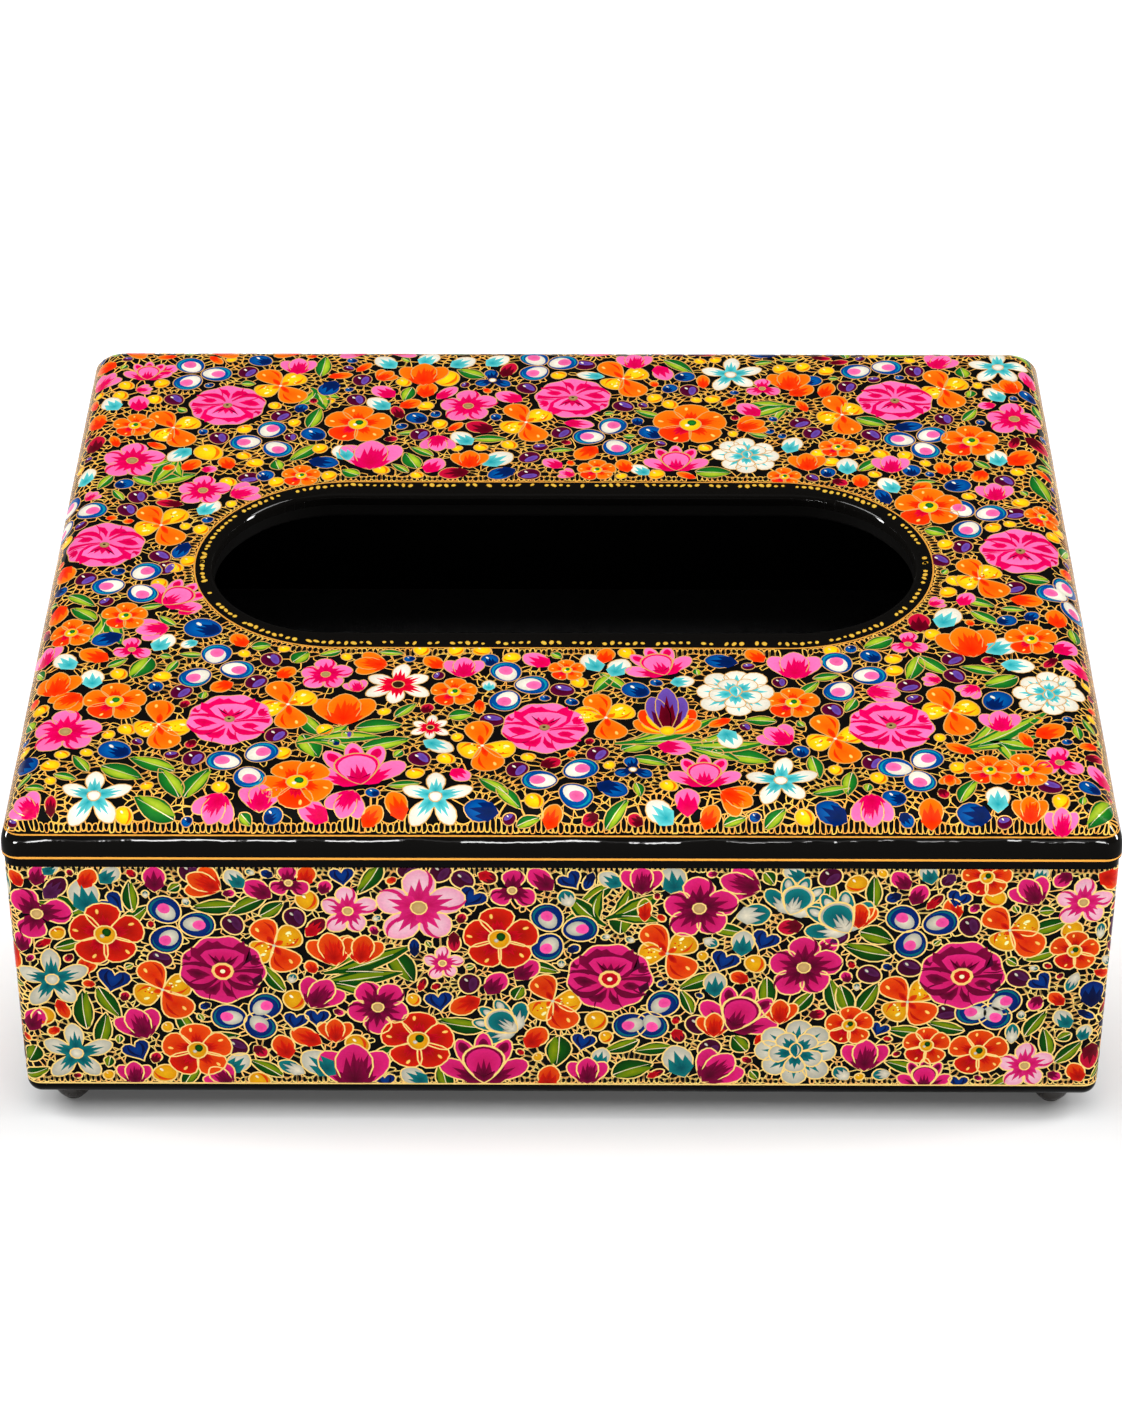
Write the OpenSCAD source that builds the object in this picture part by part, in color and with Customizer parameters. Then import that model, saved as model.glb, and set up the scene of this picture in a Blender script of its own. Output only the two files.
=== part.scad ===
// Painted tissue box with a hinged lid.
// A papier mache body on four turned ball feet, a moulded lid with rolled
// shoulders and a long slot, and two small brass butt hinges let into the seam
// at the back. The origin is on the table under the middle of the lid, with X
// to the right, Y to the back and Z up. All sizes are in millimetres.

/* [Lid] */
// Width of the lid, left to right
lid_w = 250; // [200:1:300]
// Depth of the lid, front to back
lid_d = 210; // [180:1:260]
// Height of the lid above the seam
lid_h = 12; // [11:0.5:18]
// Thickness of the top of the lid
lid_top_t = 6.5; // [4:0.5:7.5]
// Radius of the rolled shoulder between the top and the rim
shoulder_r = 10; // [4:0.5:10.5]
// Radius of the upright corners of the lid, seen from above
lid_corner_r = 4; // [2:0.5:9]
// Radius inside the lid, where the rim turns into the top
lid_inner_r = 3; // [0.5:0.5:3.5]

/* [Tissue slot] */
// Length of the slot
slot_l = 170; // [120:1:180]
// Width of the slot
slot_w = 60; // [40:1:80]
// How far the slot sits behind the middle of the lid
slot_shift = -1.5; // [-10:0.5:10]
// Radius of the rounded edge round the top of the slot
slot_edge_r = 1.5; // [0.5:0.25:2.5]
// Radius of the eased edge round the bottom of the slot
slot_under_r = 0.75; // [0.25:0.25:1.5]

/* [Body] */
// Height of the body, from its underside to the seam
body_h = 69.5; // [50:0.5:100]
// Thickness of the body walls
wall_t = 6; // [5:0.5:8]
// How far the rim of the lid stands out past the body
rim_overhang = 0.5; // [0.3:0.1:1.5]
// Radius of the rounded edge round the underside
base_edge_r = 3.25; // [1:0.25:5]
// Width of the ledge that the base panel lies on
ledge_w = 14; // [10:1:20]
// Thickness of the ledge
ledge_t = 3; // [2:0.5:5]
// Thickness of the base panel
panel_t = 3; // [2:0.5:5]
// Thickness of the felt on the floor
felt_t = 1.2; // [0.6:0.2:2]

/* [Lip strips] */
// Thickness of the strips glued round the inside of the body
lip_t = 2.5; // [1.5:0.5:4]
// How far the strips stand up into the lid
lip_rise = 3; // [1.5:0.5:3.5]
// How far the strips reach down the wall
lip_drop = 14; // [8:1:30]

/* [Feet] */
// Height of the feet
foot_h = 7; // [6:0.5:12]
// Diameter of the ball of a foot
ball_d = 9; // [7:0.5:12]
// How much of the ball is worn flat underneath
ball_flat = 0.5; // [0.2:0.1:1]
// Diameter of the collar that seats against the body
collar_d = 10; // [8:0.5:14]
// Thickness of the collar
collar_t = 1.2; // [0.8:0.2:2]
// Distance from the side of the body to the middle of a foot
foot_inset = 9.5; // [8:0.5:16]

/* [Foot screws] */
// Diameter of the shank
foot_screw_d = 2.4; // [1.6:0.2:3]
// Diameter of the countersunk head
foot_screw_head_d = 4.8; // [3.6:0.2:6]
// How far the screw reaches into the foot
foot_screw_bite = 4; // [3:0.5:5]

/* [Hinges] */
// Length of a hinge
hinge_l = 22; // [16:1:30]
// Distance between the middles of the two hinges
hinge_spacing = 140; // [80:1:160]
// Thickness of a hinge leaf
leaf_t = 0.7; // [0.5:0.1:1]
// Outer diameter of the knuckles
knuckle_d = 3; // [2.6:0.1:4]
// Length of each end knuckle
end_knuckle_l = 6.6; // [4:0.2:7]
// Diameter of the hinge pin
pin_d = 1.2; // [1:0.1:1.6]
// Diameter of the button at each end of the pin
button_d = 2.2; // [1.8:0.1:2.6]
// Thickness of a button
button_t = 0.4; // [0.2:0.1:0.8]
// How far the hinge axis lies behind the back of the body
axis_out = 0.15; // [0.1:0.05:0.2]
// Land left between a leaf and the inside of the wall
leaf_land = 1; // [0.5:0.25:1.5]

/* [Hinge screws] */
// Diameter of the shank
leaf_screw_d = 1.2; // [0.8:0.1:1.4]
// Diameter of the countersunk head
leaf_screw_head_d = 2.2; // [1.6:0.1:2.4]
// Length of the screw
leaf_screw_l = 5.5; // [4:0.5:6]
// Distance of a screw from the end of the leaf
leaf_screw_end = 4; // [2.5:0.5:5]

/* [Clearances] */
// Gap between the lid and the body at the seam
seam_gap = 0.1; // [0.05:0.05:0.3]
// Gap between the lip strips and the rim of the lid
lip_gap = 0.5; // [0.3:0.1:1]
// Gap round the base panel
panel_gap = 0.2; // [0.1:0.1:0.5]
// Gap round the felt
felt_gap = 0.6; // [0.2:0.2:2]
// Depth of a hinge leaf below the face that it is let into
leaf_sink = 0.1; // [0.05:0.05:0.2]
// Gap round a hinge leaf in its recess
recess_gap = 0.15; // [0.05:0.05:0.3]
// Gap between one knuckle and the next, and round the barrel
knuckle_gap = 0.2; // [0.1:0.05:0.3]
// Gap round the pin in its knuckles
pin_gap = 0.05; // [0.02:0.01:0.1]
// Gap round a screw in its hole
screw_gap = 0.05; // [0.02:0.01:0.1]

/* [Hidden] */
$fn = 64;
lacquer = "#17130f";
inner_black = "#0d0c0b";
board = "#3b2a1c";
felt = "#1a1416";
brass = "#c9a14a";
steel = "#9a9893";

// Body outline, which follows the lid all round
body_w = lid_w - 2 * rim_overhang;
body_d = lid_d - 2 * rim_overhang;
body_corner_r = lid_corner_r - rim_overhang;
edge_r = min(base_edge_r, body_corner_r);
room_w = body_w - 2 * wall_t;
room_d = body_d - 2 * wall_t;

// Levels, from the table up
panel_z = foot_h + ledge_t;
floor_z = panel_z + panel_t;
seam_z = foot_h + body_h;
lid_z = seam_z + seam_gap;
lid_top_z = lid_z + lid_h;

// The rim is as thick as the strips inside it need, with their clearance
lid_rim_t = wall_t + rim_overhang - lip_gap;
shoulder_z = lid_h - shoulder_r;
shoulder_steps = 10;
slice_t = 0.01;

// Feet stand under the corners of the body
foot_x = body_w / 2 - foot_inset;
foot_y = body_d / 2 - foot_inset;
ball_z = ball_d / 2 - ball_flat;
foot_screw_cone = (foot_screw_head_d - foot_screw_d) / 2;

// Hinges: the axis, the recesses and the screws
hinge_x = hinge_spacing / 2;
axis_y = body_d / 2 + axis_out;
axis_z = seam_z + seam_gap / 2;
knuckle_r = knuckle_d / 2;
mid_knuckle_l = hinge_l - 2 * end_knuckle_l - 2 * knuckle_gap;
leaf_y = body_d / 2 - wall_t + leaf_land;
leaf_d = axis_y - leaf_y;
leaf_screw_x = hinge_l / 2 - leaf_screw_end;
leaf_screw_y = (leaf_y + axis_y - knuckle_r) / 2;
leaf_screw_cone = (leaf_screw_head_d - leaf_screw_d) / 2;
past = 1; // how far a cut runs past the face that it opens

// ---- Shared forms ----

// A block on z = 0 with rounded upright corners and a rounded lower edge
module tub_block(w, d, h, corner, edge) {
    module section(l) {
        translate([-l / 2, edge]) square([l, h - edge]);
        translate([-l / 2 + edge, 0]) square([l - 2 * edge, h]);
        for (s = [-1, 1]) translate([s * (l / 2 - edge), edge]) circle(r = edge);
    }
    rotate([90, 0, 0]) linear_extrude(d - 2 * corner, center = true) section(w);
    rotate([90, 0, 90]) linear_extrude(w - 2 * corner, center = true) section(d);
    for (sx = [-1, 1], sy = [-1, 1])
        translate([sx * (w / 2 - corner), sy * (d / 2 - corner), 0])
            rotate_extrude() intersection() {
                translate([corner - w / 2, 0]) section(w);
                square([corner, h]);
            }
}

// A flat outline with rounded corners
module rounded_outline(w, d, r) {
    offset(r) square([w - 2 * r, d - 2 * r], center = true);
}

// The outline of the slot: two half rounds joined by straight sides
module slot_block(grow, h) {
    run = slot_l - slot_w;
    r = slot_w / 2 + grow;
    translate([-run / 2, -r, 0]) cube([run, 2 * r, h]);
    for (s = [-1, 1]) translate([s * run / 2, 0, 0]) cylinder(r = r, h = h);
}

// What is cut away to round the slot's edge at z = 0, for material below it
module slot_round(r) {
    run = slot_l - slot_w;
    module corner_cut() {
        translate([slot_w / 2 - past, -r]) difference() {
            square([r + past, r + past]);
            translate([r + past, 0]) circle(r = r);
            translate([past + r, -past]) square([past, r + 2 * past]);
        }
    }
    for (s = [-1, 1]) translate([s * run / 2, 0, 0]) rotate_extrude() corner_cut();
    for (s = [0, 1]) mirror([0, s, 0])
        rotate([90, 0, 90]) linear_extrude(run, center = true) corner_cut();
}

// A countersunk screw, head face at z = 0, pointing down
module screw(d, head_d, cone, l, grow = 0) {
    translate([0, 0, -l]) cylinder(d = d + 2 * grow, h = l);
    translate([0, 0, -cone])
        cylinder(d1 = d + 2 * grow, d2 = head_d + 2 * grow, h = cone);
    if (grow > 0) cylinder(d = head_d + 2 * grow, h = past);
}

// A cylinder along X, centred on x
module rod(x, d, l) {
    translate([x, axis_y, axis_z]) rotate([0, 90, 0])
        cylinder(d = d, h = l, center = true);
}

// ---- Hinge geometry ----

// Where the knuckles of each leaf lie along the barrel, as [middle, length]
end_knuckles = [for (s = [-1, 1]) [s * (hinge_l - end_knuckle_l) / 2, end_knuckle_l]];
mid_knuckles = [[0, mid_knuckle_l]];

// One leaf, its knuckles and its bore; side is 1 for the lid and -1 for the body
module hinge_leaf(x, side) {
    own = side > 0 ? mid_knuckles : end_knuckles;
    other = side > 0 ? end_knuckles : mid_knuckles;
    face = side > 0 ? lid_z + leaf_sink : seam_z - leaf_sink;
    color(brass) difference() {
        union() {
            difference() {
                translate([x - hinge_l / 2, leaf_y, face + min(side, 0) * leaf_t])
                    cube([hinge_l, leaf_d, leaf_t]);
                for (k = other)
                    rod(x + k[0], knuckle_d + 2 * knuckle_gap, k[1] + 2 * knuckle_gap);
            }
            for (k = own) rod(x + k[0], knuckle_d, k[1]);
        }
        rod(x, pin_d + 2 * pin_gap, hinge_l + past);
        leaf_screws_at(x, side) leaf_screw(screw_gap);
    }
}

module leaf_screw(grow = 0) {
    screw(leaf_screw_d, leaf_screw_head_d, leaf_screw_cone, leaf_screw_l, grow);
}

// Puts a screw at both places on a leaf, head in the seam
module leaf_screws_at(x, side) {
    face = side > 0 ? lid_z + leaf_sink : seam_z - leaf_sink;
    for (s = [-1, 1])
        translate([x + s * leaf_screw_x, leaf_screw_y, face])
            mirror([0, 0, max(side, 0)]) children();
}

// The recess that a leaf and the barrel need in the shell on their side
module hinge_recess(x, side) {
    face = side > 0 ? lid_z : seam_z;
    deep = leaf_t + leaf_sink;
    translate([x - hinge_l / 2 - recess_gap, leaf_y - recess_gap,
               face - (side > 0 ? past : deep)])
        cube([hinge_l + 2 * recess_gap, leaf_d + recess_gap + past, deep + past]);
    rod(x, knuckle_d + 2 * knuckle_gap, hinge_l + 2 * button_t + 2 * knuckle_gap);
    leaf_screws_at(x, side) leaf_screw(screw_gap);
}

// ---- Body ----

module body_shell() {
    color(lacquer) difference() {
        translate([0, 0, foot_h])
            tub_block(body_w, body_d, body_h, body_corner_r, edge_r);
        translate([-room_w / 2, -room_d / 2, panel_z])
            cube([room_w, room_d, body_h]);
        translate([-room_w / 2 + ledge_w, -room_d / 2 + ledge_w, foot_h - past])
            cube([room_w - 2 * ledge_w, room_d - 2 * ledge_w, ledge_t + 2 * past]);
        for (s = [-1, 1]) hinge_recess(s * hinge_x, -1);
        foot_screws_at() foot_screw(screw_gap);
    }
}

module base_panel() {
    color(board) difference() {
        translate([-room_w / 2 + panel_gap, -room_d / 2 + panel_gap, panel_z])
            cube([room_w - 2 * panel_gap, room_d - 2 * panel_gap, panel_t]);
        foot_screws_at() foot_screw(screw_gap);
    }
}

module floor_felt() {
    color(felt)
        translate([-room_w / 2 + felt_gap, -room_d / 2 + felt_gap, floor_z])
            cube([room_w - 2 * felt_gap, room_d - 2 * felt_gap, felt_t]);
}

// A strip along X with a rounded top edge, its outer face on y = 0
module lip_strip(l) {
    top = seam_z + lip_rise;
    rotate([90, 0, 90]) linear_extrude(l, center = true) {
        translate([0, seam_z - lip_drop])
            square([lip_t, lip_rise + lip_drop - lip_t / 2]);
        translate([lip_t / 2, top - lip_t / 2]) circle(d = lip_t);
    }
}

// Rounds the strips off in the corners, so that they clear the inside of the lid
module round_lip_corners() {
    intersection() {
        children();
        translate([0, 0, seam_z - lip_drop]) linear_extrude(lip_drop + lip_rise) {
            square([room_w - 2 * lid_inner_r, room_d], center = true);
            square([room_w, room_d - 2 * lid_inner_r], center = true);
            for (sx = [-1, 1], sy = [-1, 1])
                translate([sx * (room_w / 2 - lid_inner_r), sy * (room_d / 2 - lid_inner_r)])
                    circle(lid_inner_r);
        }
    }
}

module front_lip_strip() {
    color(inner_black) round_lip_corners()
        translate([0, -room_d / 2, 0]) lip_strip(room_w);
}

// The side strips run from the front strip to the back wall
module side_lip_strip(side) {
    color(inner_black) round_lip_corners()
        translate([side * room_w / 2, lip_t / 2, 0])
            rotate([0, 0, side * 90]) lip_strip(room_d - lip_t);
}

module foot(sx, sy) {
    color(lacquer) difference() {
        translate([sx * foot_x, sy * foot_y, 0]) rotate_extrude() intersection() {
            union() {
                translate([0, ball_z]) circle(d = ball_d);
                translate([0, foot_h - collar_t]) square([collar_d / 2, collar_t]);
                square([collar_d / 4, foot_h]);
            }
            square([max(ball_d, collar_d), foot_h]);
        }
        foot_screws_at() foot_screw(screw_gap);
    }
}

module foot_screw(grow = 0) {
    screw(foot_screw_d, foot_screw_head_d, foot_screw_cone,
          panel_t + ledge_t + foot_screw_bite, grow);
}

module foot_screws_at() {
    for (sx = [-1, 1], sy = [-1, 1])
        translate([sx * foot_x, sy * foot_y, floor_z]) children();
}

module hinge_pin(x) {
    color(brass) {
        rod(x, pin_d, hinge_l + 2 * button_t);
        for (s = [-1, 1])
            rod(x + s * (hinge_l + button_t) / 2, button_d, button_t);
    }
}

// ---- Lid ----

// Levels up the outside of the lid, as [height, how far the outline is drawn in]
lid_slices = concat([[0, 0]], [
    for (i = [0:shoulder_steps])
        let (a = 90 * i / shoulder_steps)
            [shoulder_z + shoulder_r * sin(a), shoulder_r * (1 - cos(a))]
]);

// Outside of the lid: each level keeps the same corner radius, so the rolled
// shoulders run into each other in a soft ridge at the corners
module lid_block() {
    hull() for (s = lid_slices)
        translate([0, 0, max(s[0] - slice_t, 0)]) linear_extrude(slice_t)
            rounded_outline(lid_w - 2 * s[1], lid_d - 2 * s[1], lid_corner_r, $fn = 32);
}

module lid_shell() {
    inner_w = lid_w - 2 * lid_rim_t;
    inner_d = lid_d - 2 * lid_rim_t;
    hollow = lid_h - lid_top_t;
    color(lacquer) difference() {
        translate([0, 0, lid_z]) lid_block();
        translate([0, 0, lid_z + hollow]) mirror([0, 0, 1])
            tub_block(inner_w, inner_d, hollow + past, lid_inner_r, lid_inner_r);
        translate([0, slot_shift, 0]) {
            translate([0, 0, lid_z - past]) slot_block(0, lid_h + 2 * past);
            translate([0, 0, lid_top_z]) slot_round(slot_edge_r);
            translate([0, 0, lid_z + hollow]) mirror([0, 0, 1])
                slot_round(slot_under_r);
        }
        for (s = [-1, 1]) hinge_recess(s * hinge_x, 1);
    }
}

body_shell();
base_panel();
floor_felt();
front_lip_strip();
side_lip_strip(-1);  // left_lip_strip
side_lip_strip(1);  // right_lip_strip
foot(-1, -1);  // front_left_foot
foot(1, -1);  // front_right_foot
foot(-1, 1);  // back_left_foot
foot(1, 1);  // back_right_foot
color(steel) foot_screws_at() foot_screw();  // foot_screws
hinge_leaf(-hinge_x, -1);  // left_hinge_body_leaf
hinge_leaf(hinge_x, -1);  // right_hinge_body_leaf
hinge_pin(-hinge_x);  // left_hinge_pin
hinge_pin(hinge_x);  // right_hinge_pin
color(brass) leaf_screws_at(-hinge_x, -1) leaf_screw();  // left_hinge_body_screws
color(brass) leaf_screws_at(hinge_x, -1) leaf_screw();  // right_hinge_body_screws
lid_shell();
hinge_leaf(-hinge_x, 1);  // left_hinge_lid_leaf
hinge_leaf(hinge_x, 1);  // right_hinge_lid_leaf
color(brass) leaf_screws_at(-hinge_x, 1) leaf_screw();  // left_hinge_lid_screws
color(brass) leaf_screws_at(hinge_x, 1) leaf_screw();  // right_hinge_lid_screws
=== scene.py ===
import math
import random
from functools import partial

import bpy
import numpy as np
from mathutils import Matrix, Vector, geometry


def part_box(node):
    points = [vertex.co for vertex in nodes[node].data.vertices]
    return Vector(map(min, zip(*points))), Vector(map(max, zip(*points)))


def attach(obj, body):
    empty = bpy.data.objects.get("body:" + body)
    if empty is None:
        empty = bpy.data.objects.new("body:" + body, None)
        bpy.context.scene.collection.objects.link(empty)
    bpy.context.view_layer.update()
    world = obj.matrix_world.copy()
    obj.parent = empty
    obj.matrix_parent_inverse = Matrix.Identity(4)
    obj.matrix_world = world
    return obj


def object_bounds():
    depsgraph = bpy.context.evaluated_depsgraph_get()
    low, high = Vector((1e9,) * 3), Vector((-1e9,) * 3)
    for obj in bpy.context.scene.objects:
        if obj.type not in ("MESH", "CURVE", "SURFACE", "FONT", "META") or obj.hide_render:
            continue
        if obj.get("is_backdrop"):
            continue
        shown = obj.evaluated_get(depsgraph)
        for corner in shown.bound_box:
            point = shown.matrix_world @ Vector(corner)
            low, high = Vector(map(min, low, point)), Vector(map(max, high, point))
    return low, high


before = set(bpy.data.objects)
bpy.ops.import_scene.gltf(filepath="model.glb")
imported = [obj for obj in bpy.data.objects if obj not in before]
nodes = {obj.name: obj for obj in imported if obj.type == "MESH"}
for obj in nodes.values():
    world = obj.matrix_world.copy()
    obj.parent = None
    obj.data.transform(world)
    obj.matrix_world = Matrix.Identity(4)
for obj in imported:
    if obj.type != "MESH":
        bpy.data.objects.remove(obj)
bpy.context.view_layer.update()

MM = 0.001
scene = bpy.context.scene
scene.view_settings.view_transform = "Standard"


# ---- Camera ----
# The box was photographed square on from the front and from well above it, with a
# long lens. The numbers were fitted to its corners, seam, slot and feet.
lens_mm = 99.97
camera_away = 969.2 * MM
camera_pitch = math.radians(35.28)
camera_yaw = math.radians(-0.42)
camera_roll = math.radians(-0.11)
camera_aim = Vector((-0.74, 0, 45.96)) * MM

look = Vector((
    math.sin(camera_yaw) * math.cos(camera_pitch),
    math.cos(camera_yaw) * math.cos(camera_pitch),
    -math.sin(camera_pitch),
))
level_right = Vector((math.cos(camera_yaw), -math.sin(camera_yaw), 0))
level_up = level_right.cross(look)
right = level_right * math.cos(camera_roll) + level_up * math.sin(camera_roll)
up = level_up * math.cos(camera_roll) - level_right * math.sin(camera_roll)
camera_data = bpy.data.cameras.new("camera")
camera_data.lens = lens_mm
camera_data.sensor_width = 36
camera = bpy.data.objects.new("camera", camera_data)
scene.collection.objects.link(camera)
camera.matrix_world = Matrix.Translation(camera_aim - look * camera_away) @ Matrix((
    (right.x, up.x, -look.x),
    (right.y, up.y, -look.y),
    (right.z, up.z, -look.z),
)).to_4x4()
scene.camera = camera


# ---- Papier mache shells and their black lacquer ----
# The body and the lid are pulped paper on a mould, sealed, painted black and rubbed
# down. The outside then gets many coats of clear varnish, so it is deep and wet
# looking, while the inside is left a plain satin black.
coat_t = 0.03 * MM
lid_low, lid_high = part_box("lid_shell")
body_low, body_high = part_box("body_shell")
lid_w = lid_high.x - lid_low.x
lid_d = lid_high.y - lid_low.y
lid_top = lid_high.z
lid_rim = lid_low.z
seam = body_high.z
body_w = body_high.x - body_low.x
body_d = body_high.y - body_low.y
body_under = body_low.z
shoulder_r = 10 * MM
lid_corner_r = 4 * MM
body_corner_r = 3.5 * MM
base_edge_r = 3.25 * MM
slot_l = 170 * MM
slot_w = 60 * MM
slot_y = -1.5 * MM
slot_edge_r = 1.5 * MM
hinge_x = 70 * MM
barrel_cut_w = 23.2 * MM
barrel_cut_h = 3.4 * MM
hair = 1e-6  # m, by which a level is widened to catch the vertices on it


def link(source, output, target, name):
    """Joins an output of one node to an input of another."""
    source.id_data.links.new(source.outputs[output], target.inputs[name])


def new_material(name, colour, roughness, **inputs):
    """A node material with its Principled shader, and the two of them."""
    material = bpy.data.materials.new(name)
    material.use_nodes = True
    shader = material.node_tree.nodes["Principled BSDF"]
    inputs.update(Base_Color=(*colour, 1), Roughness=roughness)
    for key, value in inputs.items():
        shader.inputs[key.replace("_", " ")].default_value = value
    material.diffuse_color = (*colour, 1)
    return material, shader


def add_node(material, kind, **values):
    """A node with its settings and inputs, whose names have _ for a space."""
    node = material.node_tree.nodes.new(kind)
    for name, value in values.items():
        if hasattr(node, name):
            setattr(node, name, value)
        else:
            node.inputs[name.replace("_", " ")].default_value = value
    return node


def object_noise(material, per_metre, detail=4, rough=0.5):
    """Noise on Object coordinates, with about per_metre lumps to a metre."""
    place = add_node(material, "ShaderNodeTexCoord")
    noise = add_node(
        material, "ShaderNodeTexNoise", Scale=per_metre, Detail=detail, Roughness=rough)
    link(place, "Object", noise, "Vector")
    return noise


def vary_roughness(material, shader, noise, low, high):
    spread = add_node(material, "ShaderNodeMapRange", To_Min=low, To_Max=high)
    link(noise, "Fac", spread, "Value")
    link(spread, "Result", shader, "Roughness")


def vary_colour(material, shader, noise, first, second):
    mix = add_node(material, "ShaderNodeMix", data_type="RGBA")
    for socket in mix.inputs:
        if socket.type == "RGBA":
            socket.default_value = (*first, 1) if socket.name == "A" else (*second, 1)
    link(noise, "Fac", mix, "Factor")
    link(mix, 2, shader, "Base Color")


def add_bump(material, shader, relief, height, strength):
    bump = add_node(material, "ShaderNodeBump", Strength=strength, Distance=height)
    link(relief, 0, bump, "Height")
    link(bump, "Normal", shader, "Normal")


def black_lacquer(name, depth, gloss):
    """Rubbed lacquer, with the soft waves and small pits of hand work."""
    waves_to_pits = 22
    material, shader = new_material(
        name, (depth, depth * 0.9, depth * 0.8), 0.04, IOR=1.33, Specular_IOR_Level=gloss)
    vary_roughness(material, shader, object_noise(material, 900), 0.03, 0.07)
    relief = add_node(material, "ShaderNodeMath", operation="MULTIPLY_ADD")
    relief.inputs[1].default_value = waves_to_pits
    link(object_noise(material, 26, 2), "Fac", relief, 0)
    link(object_noise(material, 130, 3), "Fac", relief, 2)
    add_bump(material, shader, relief, 0.25 * MM, 0.5)
    return material


def satin_black():
    material, shader = new_material("satin_black", (0.006, 0.0055, 0.005), 0.4, IOR=1.4)
    noise = object_noise(material, 700, 6)
    vary_roughness(material, shader, noise, 0.34, 0.52)
    add_bump(material, shader, noise, 0.12 * MM, 0.5)
    return material


body_black = black_lacquer("rubbed_black_lacquer", 0.0018, 0.06)
# The lid's black is painted darker than the body's: a painted shade that takes back the light of
# the glint lamps, which light the lid's lacquer alone.
lid_black_painted_darker = black_lacquer("polished_black_lacquer", 0.0003, 0.03)
inside_black = satin_black()


def dress(name, material):
    """Gives a CAD node its finish."""
    slots = nodes[name].data.materials
    slots.clear()
    slots.append(material)


def deselect_all():
    if bpy.context.object and bpy.context.object.mode != "OBJECT":
        bpy.ops.object.mode_set(mode="OBJECT")
    bpy.ops.object.select_all(action="DESELECT")


def take_up(piece):
    """Makes a piece the only one selected, and the active one."""
    deselect_all()
    piece.select_set(True)
    bpy.context.view_layer.objects.active = piece


def settle(piece):
    """Puts a finished piece's place into its mesh."""
    take_up(piece)
    bpy.ops.object.transform_apply(location=True, rotation=True, scale=True)


def pick(piece, kind, test):
    """In edit mode, selects the vertices, edges or faces that pass the test, and no others."""
    bpy.ops.object.mode_set(mode="EDIT")
    bpy.ops.mesh.select_mode(type=kind)
    bpy.ops.mesh.select_all(action="DESELECT")
    bpy.ops.object.mode_set(mode="OBJECT")
    mesh = piece.data
    for part in {"VERT": mesh.vertices, "EDGE": mesh.edges, "FACE": mesh.polygons}[kind]:
        part.select = test(part)
    bpy.ops.object.mode_set(mode="EDIT")


def pick_vertices(piece, test):
    pick(piece, "VERT", lambda vertex: test(vertex.co))


def cut_hinge_gaps(coat):
    """Takes the varnish away round the barrels of the two hinges."""
    half_w = barrel_cut_w / 2
    middle = (seam + lid_rim) / 2
    planes = [((side * hinge_x + s * half_w, 0, 0), (1, 0, 0)) for side in (-1, 1) for s in (-1, 1)]
    planes += [((0, 0, middle + s * barrel_cut_h / 2), (0, 0, 1)) for s in (-1, 1)]
    for place, normal in planes:
        pick(coat, "FACE", lambda face: face.normal.y > 0.99)
        bpy.ops.mesh.bisect(plane_co=place, plane_no=normal)
    pick(coat, "FACE", lambda face: (
        face.normal.y > 0.99
        and abs(abs(face.center.x) - hinge_x) < half_w
        and abs(face.center.z - middle) < barrel_cut_h / 2))
    bpy.ops.mesh.delete(type="FACE")
    bpy.ops.object.mode_set(mode="OBJECT")


def finish_coat(coat, body, lacquer):
    """Smooths a coat of varnish, and lets it ride its body over the bare shell."""
    bpy.ops.object.shade_smooth()
    cut_hinge_gaps(coat)
    take_up(coat)
    modifier = coat.modifiers.new("weighted_normal", "WEIGHTED_NORMAL")
    modifier.keep_sharp = True
    modifier.weight = 90
    bpy.ops.object.modifier_apply(modifier=modifier.name)
    coat.data.materials.append(lacquer)
    settle(coat)
    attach(coat, body)
    dress(f"{body}_shell", inside_black)


# The body's coat: a box rounded at its upright corners and round its underside, open
# at the rim and under the box, where the bare shell takes over.
deselect_all()
bpy.ops.mesh.primitive_cube_add(
    size=1, location=(0, 0, (body_under + seam) / 2),
    scale=(body_w + 2 * coat_t, body_d + 2 * coat_t, seam - body_under + 2 * coat_t))
body_coat = bpy.context.object
body_coat.name = "body_lacquer"
settle(body_coat)
heights = [v.co.z for v in body_coat.data.vertices]
pick(body_coat, "EDGE", lambda edge: (
    abs(heights[edge.vertices[0]] - heights[edge.vertices[1]]) > MM))
bpy.ops.mesh.bevel(offset=body_corner_r + coat_t, segments=16, profile=0.5)
pick(body_coat, "FACE", lambda face: face.normal.z < -0.99)
bpy.ops.mesh.bevel(offset=base_edge_r + coat_t, segments=10, profile=0.5)
pick(body_coat, "FACE", lambda face: abs(face.normal.z) > 0.999 and face.area > 0.01)
bpy.ops.mesh.delete(type="FACE")
pick_vertices(body_coat, lambda co: co.z > seam)
bpy.ops.transform.translate(value=(0, 0, -coat_t))
bpy.ops.object.mode_set(mode="OBJECT")
finish_coat(body_coat, "body", body_black)


# The lid's coat: an outline with small corners is drawn up the rim and then drawn in
# over the shoulder, step by step with its corner radius unchanged, which leaves the
# soft ridge at each corner. It runs over the top and down the edge of the slot.
shoulder_steps = 32
slot_steps = 8
slot_points = 144
slot_run = slot_l - slot_w
slot_mouth_r = slot_w / 2 + slot_edge_r
slot_wall_h = 1.5 * MM

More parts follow.
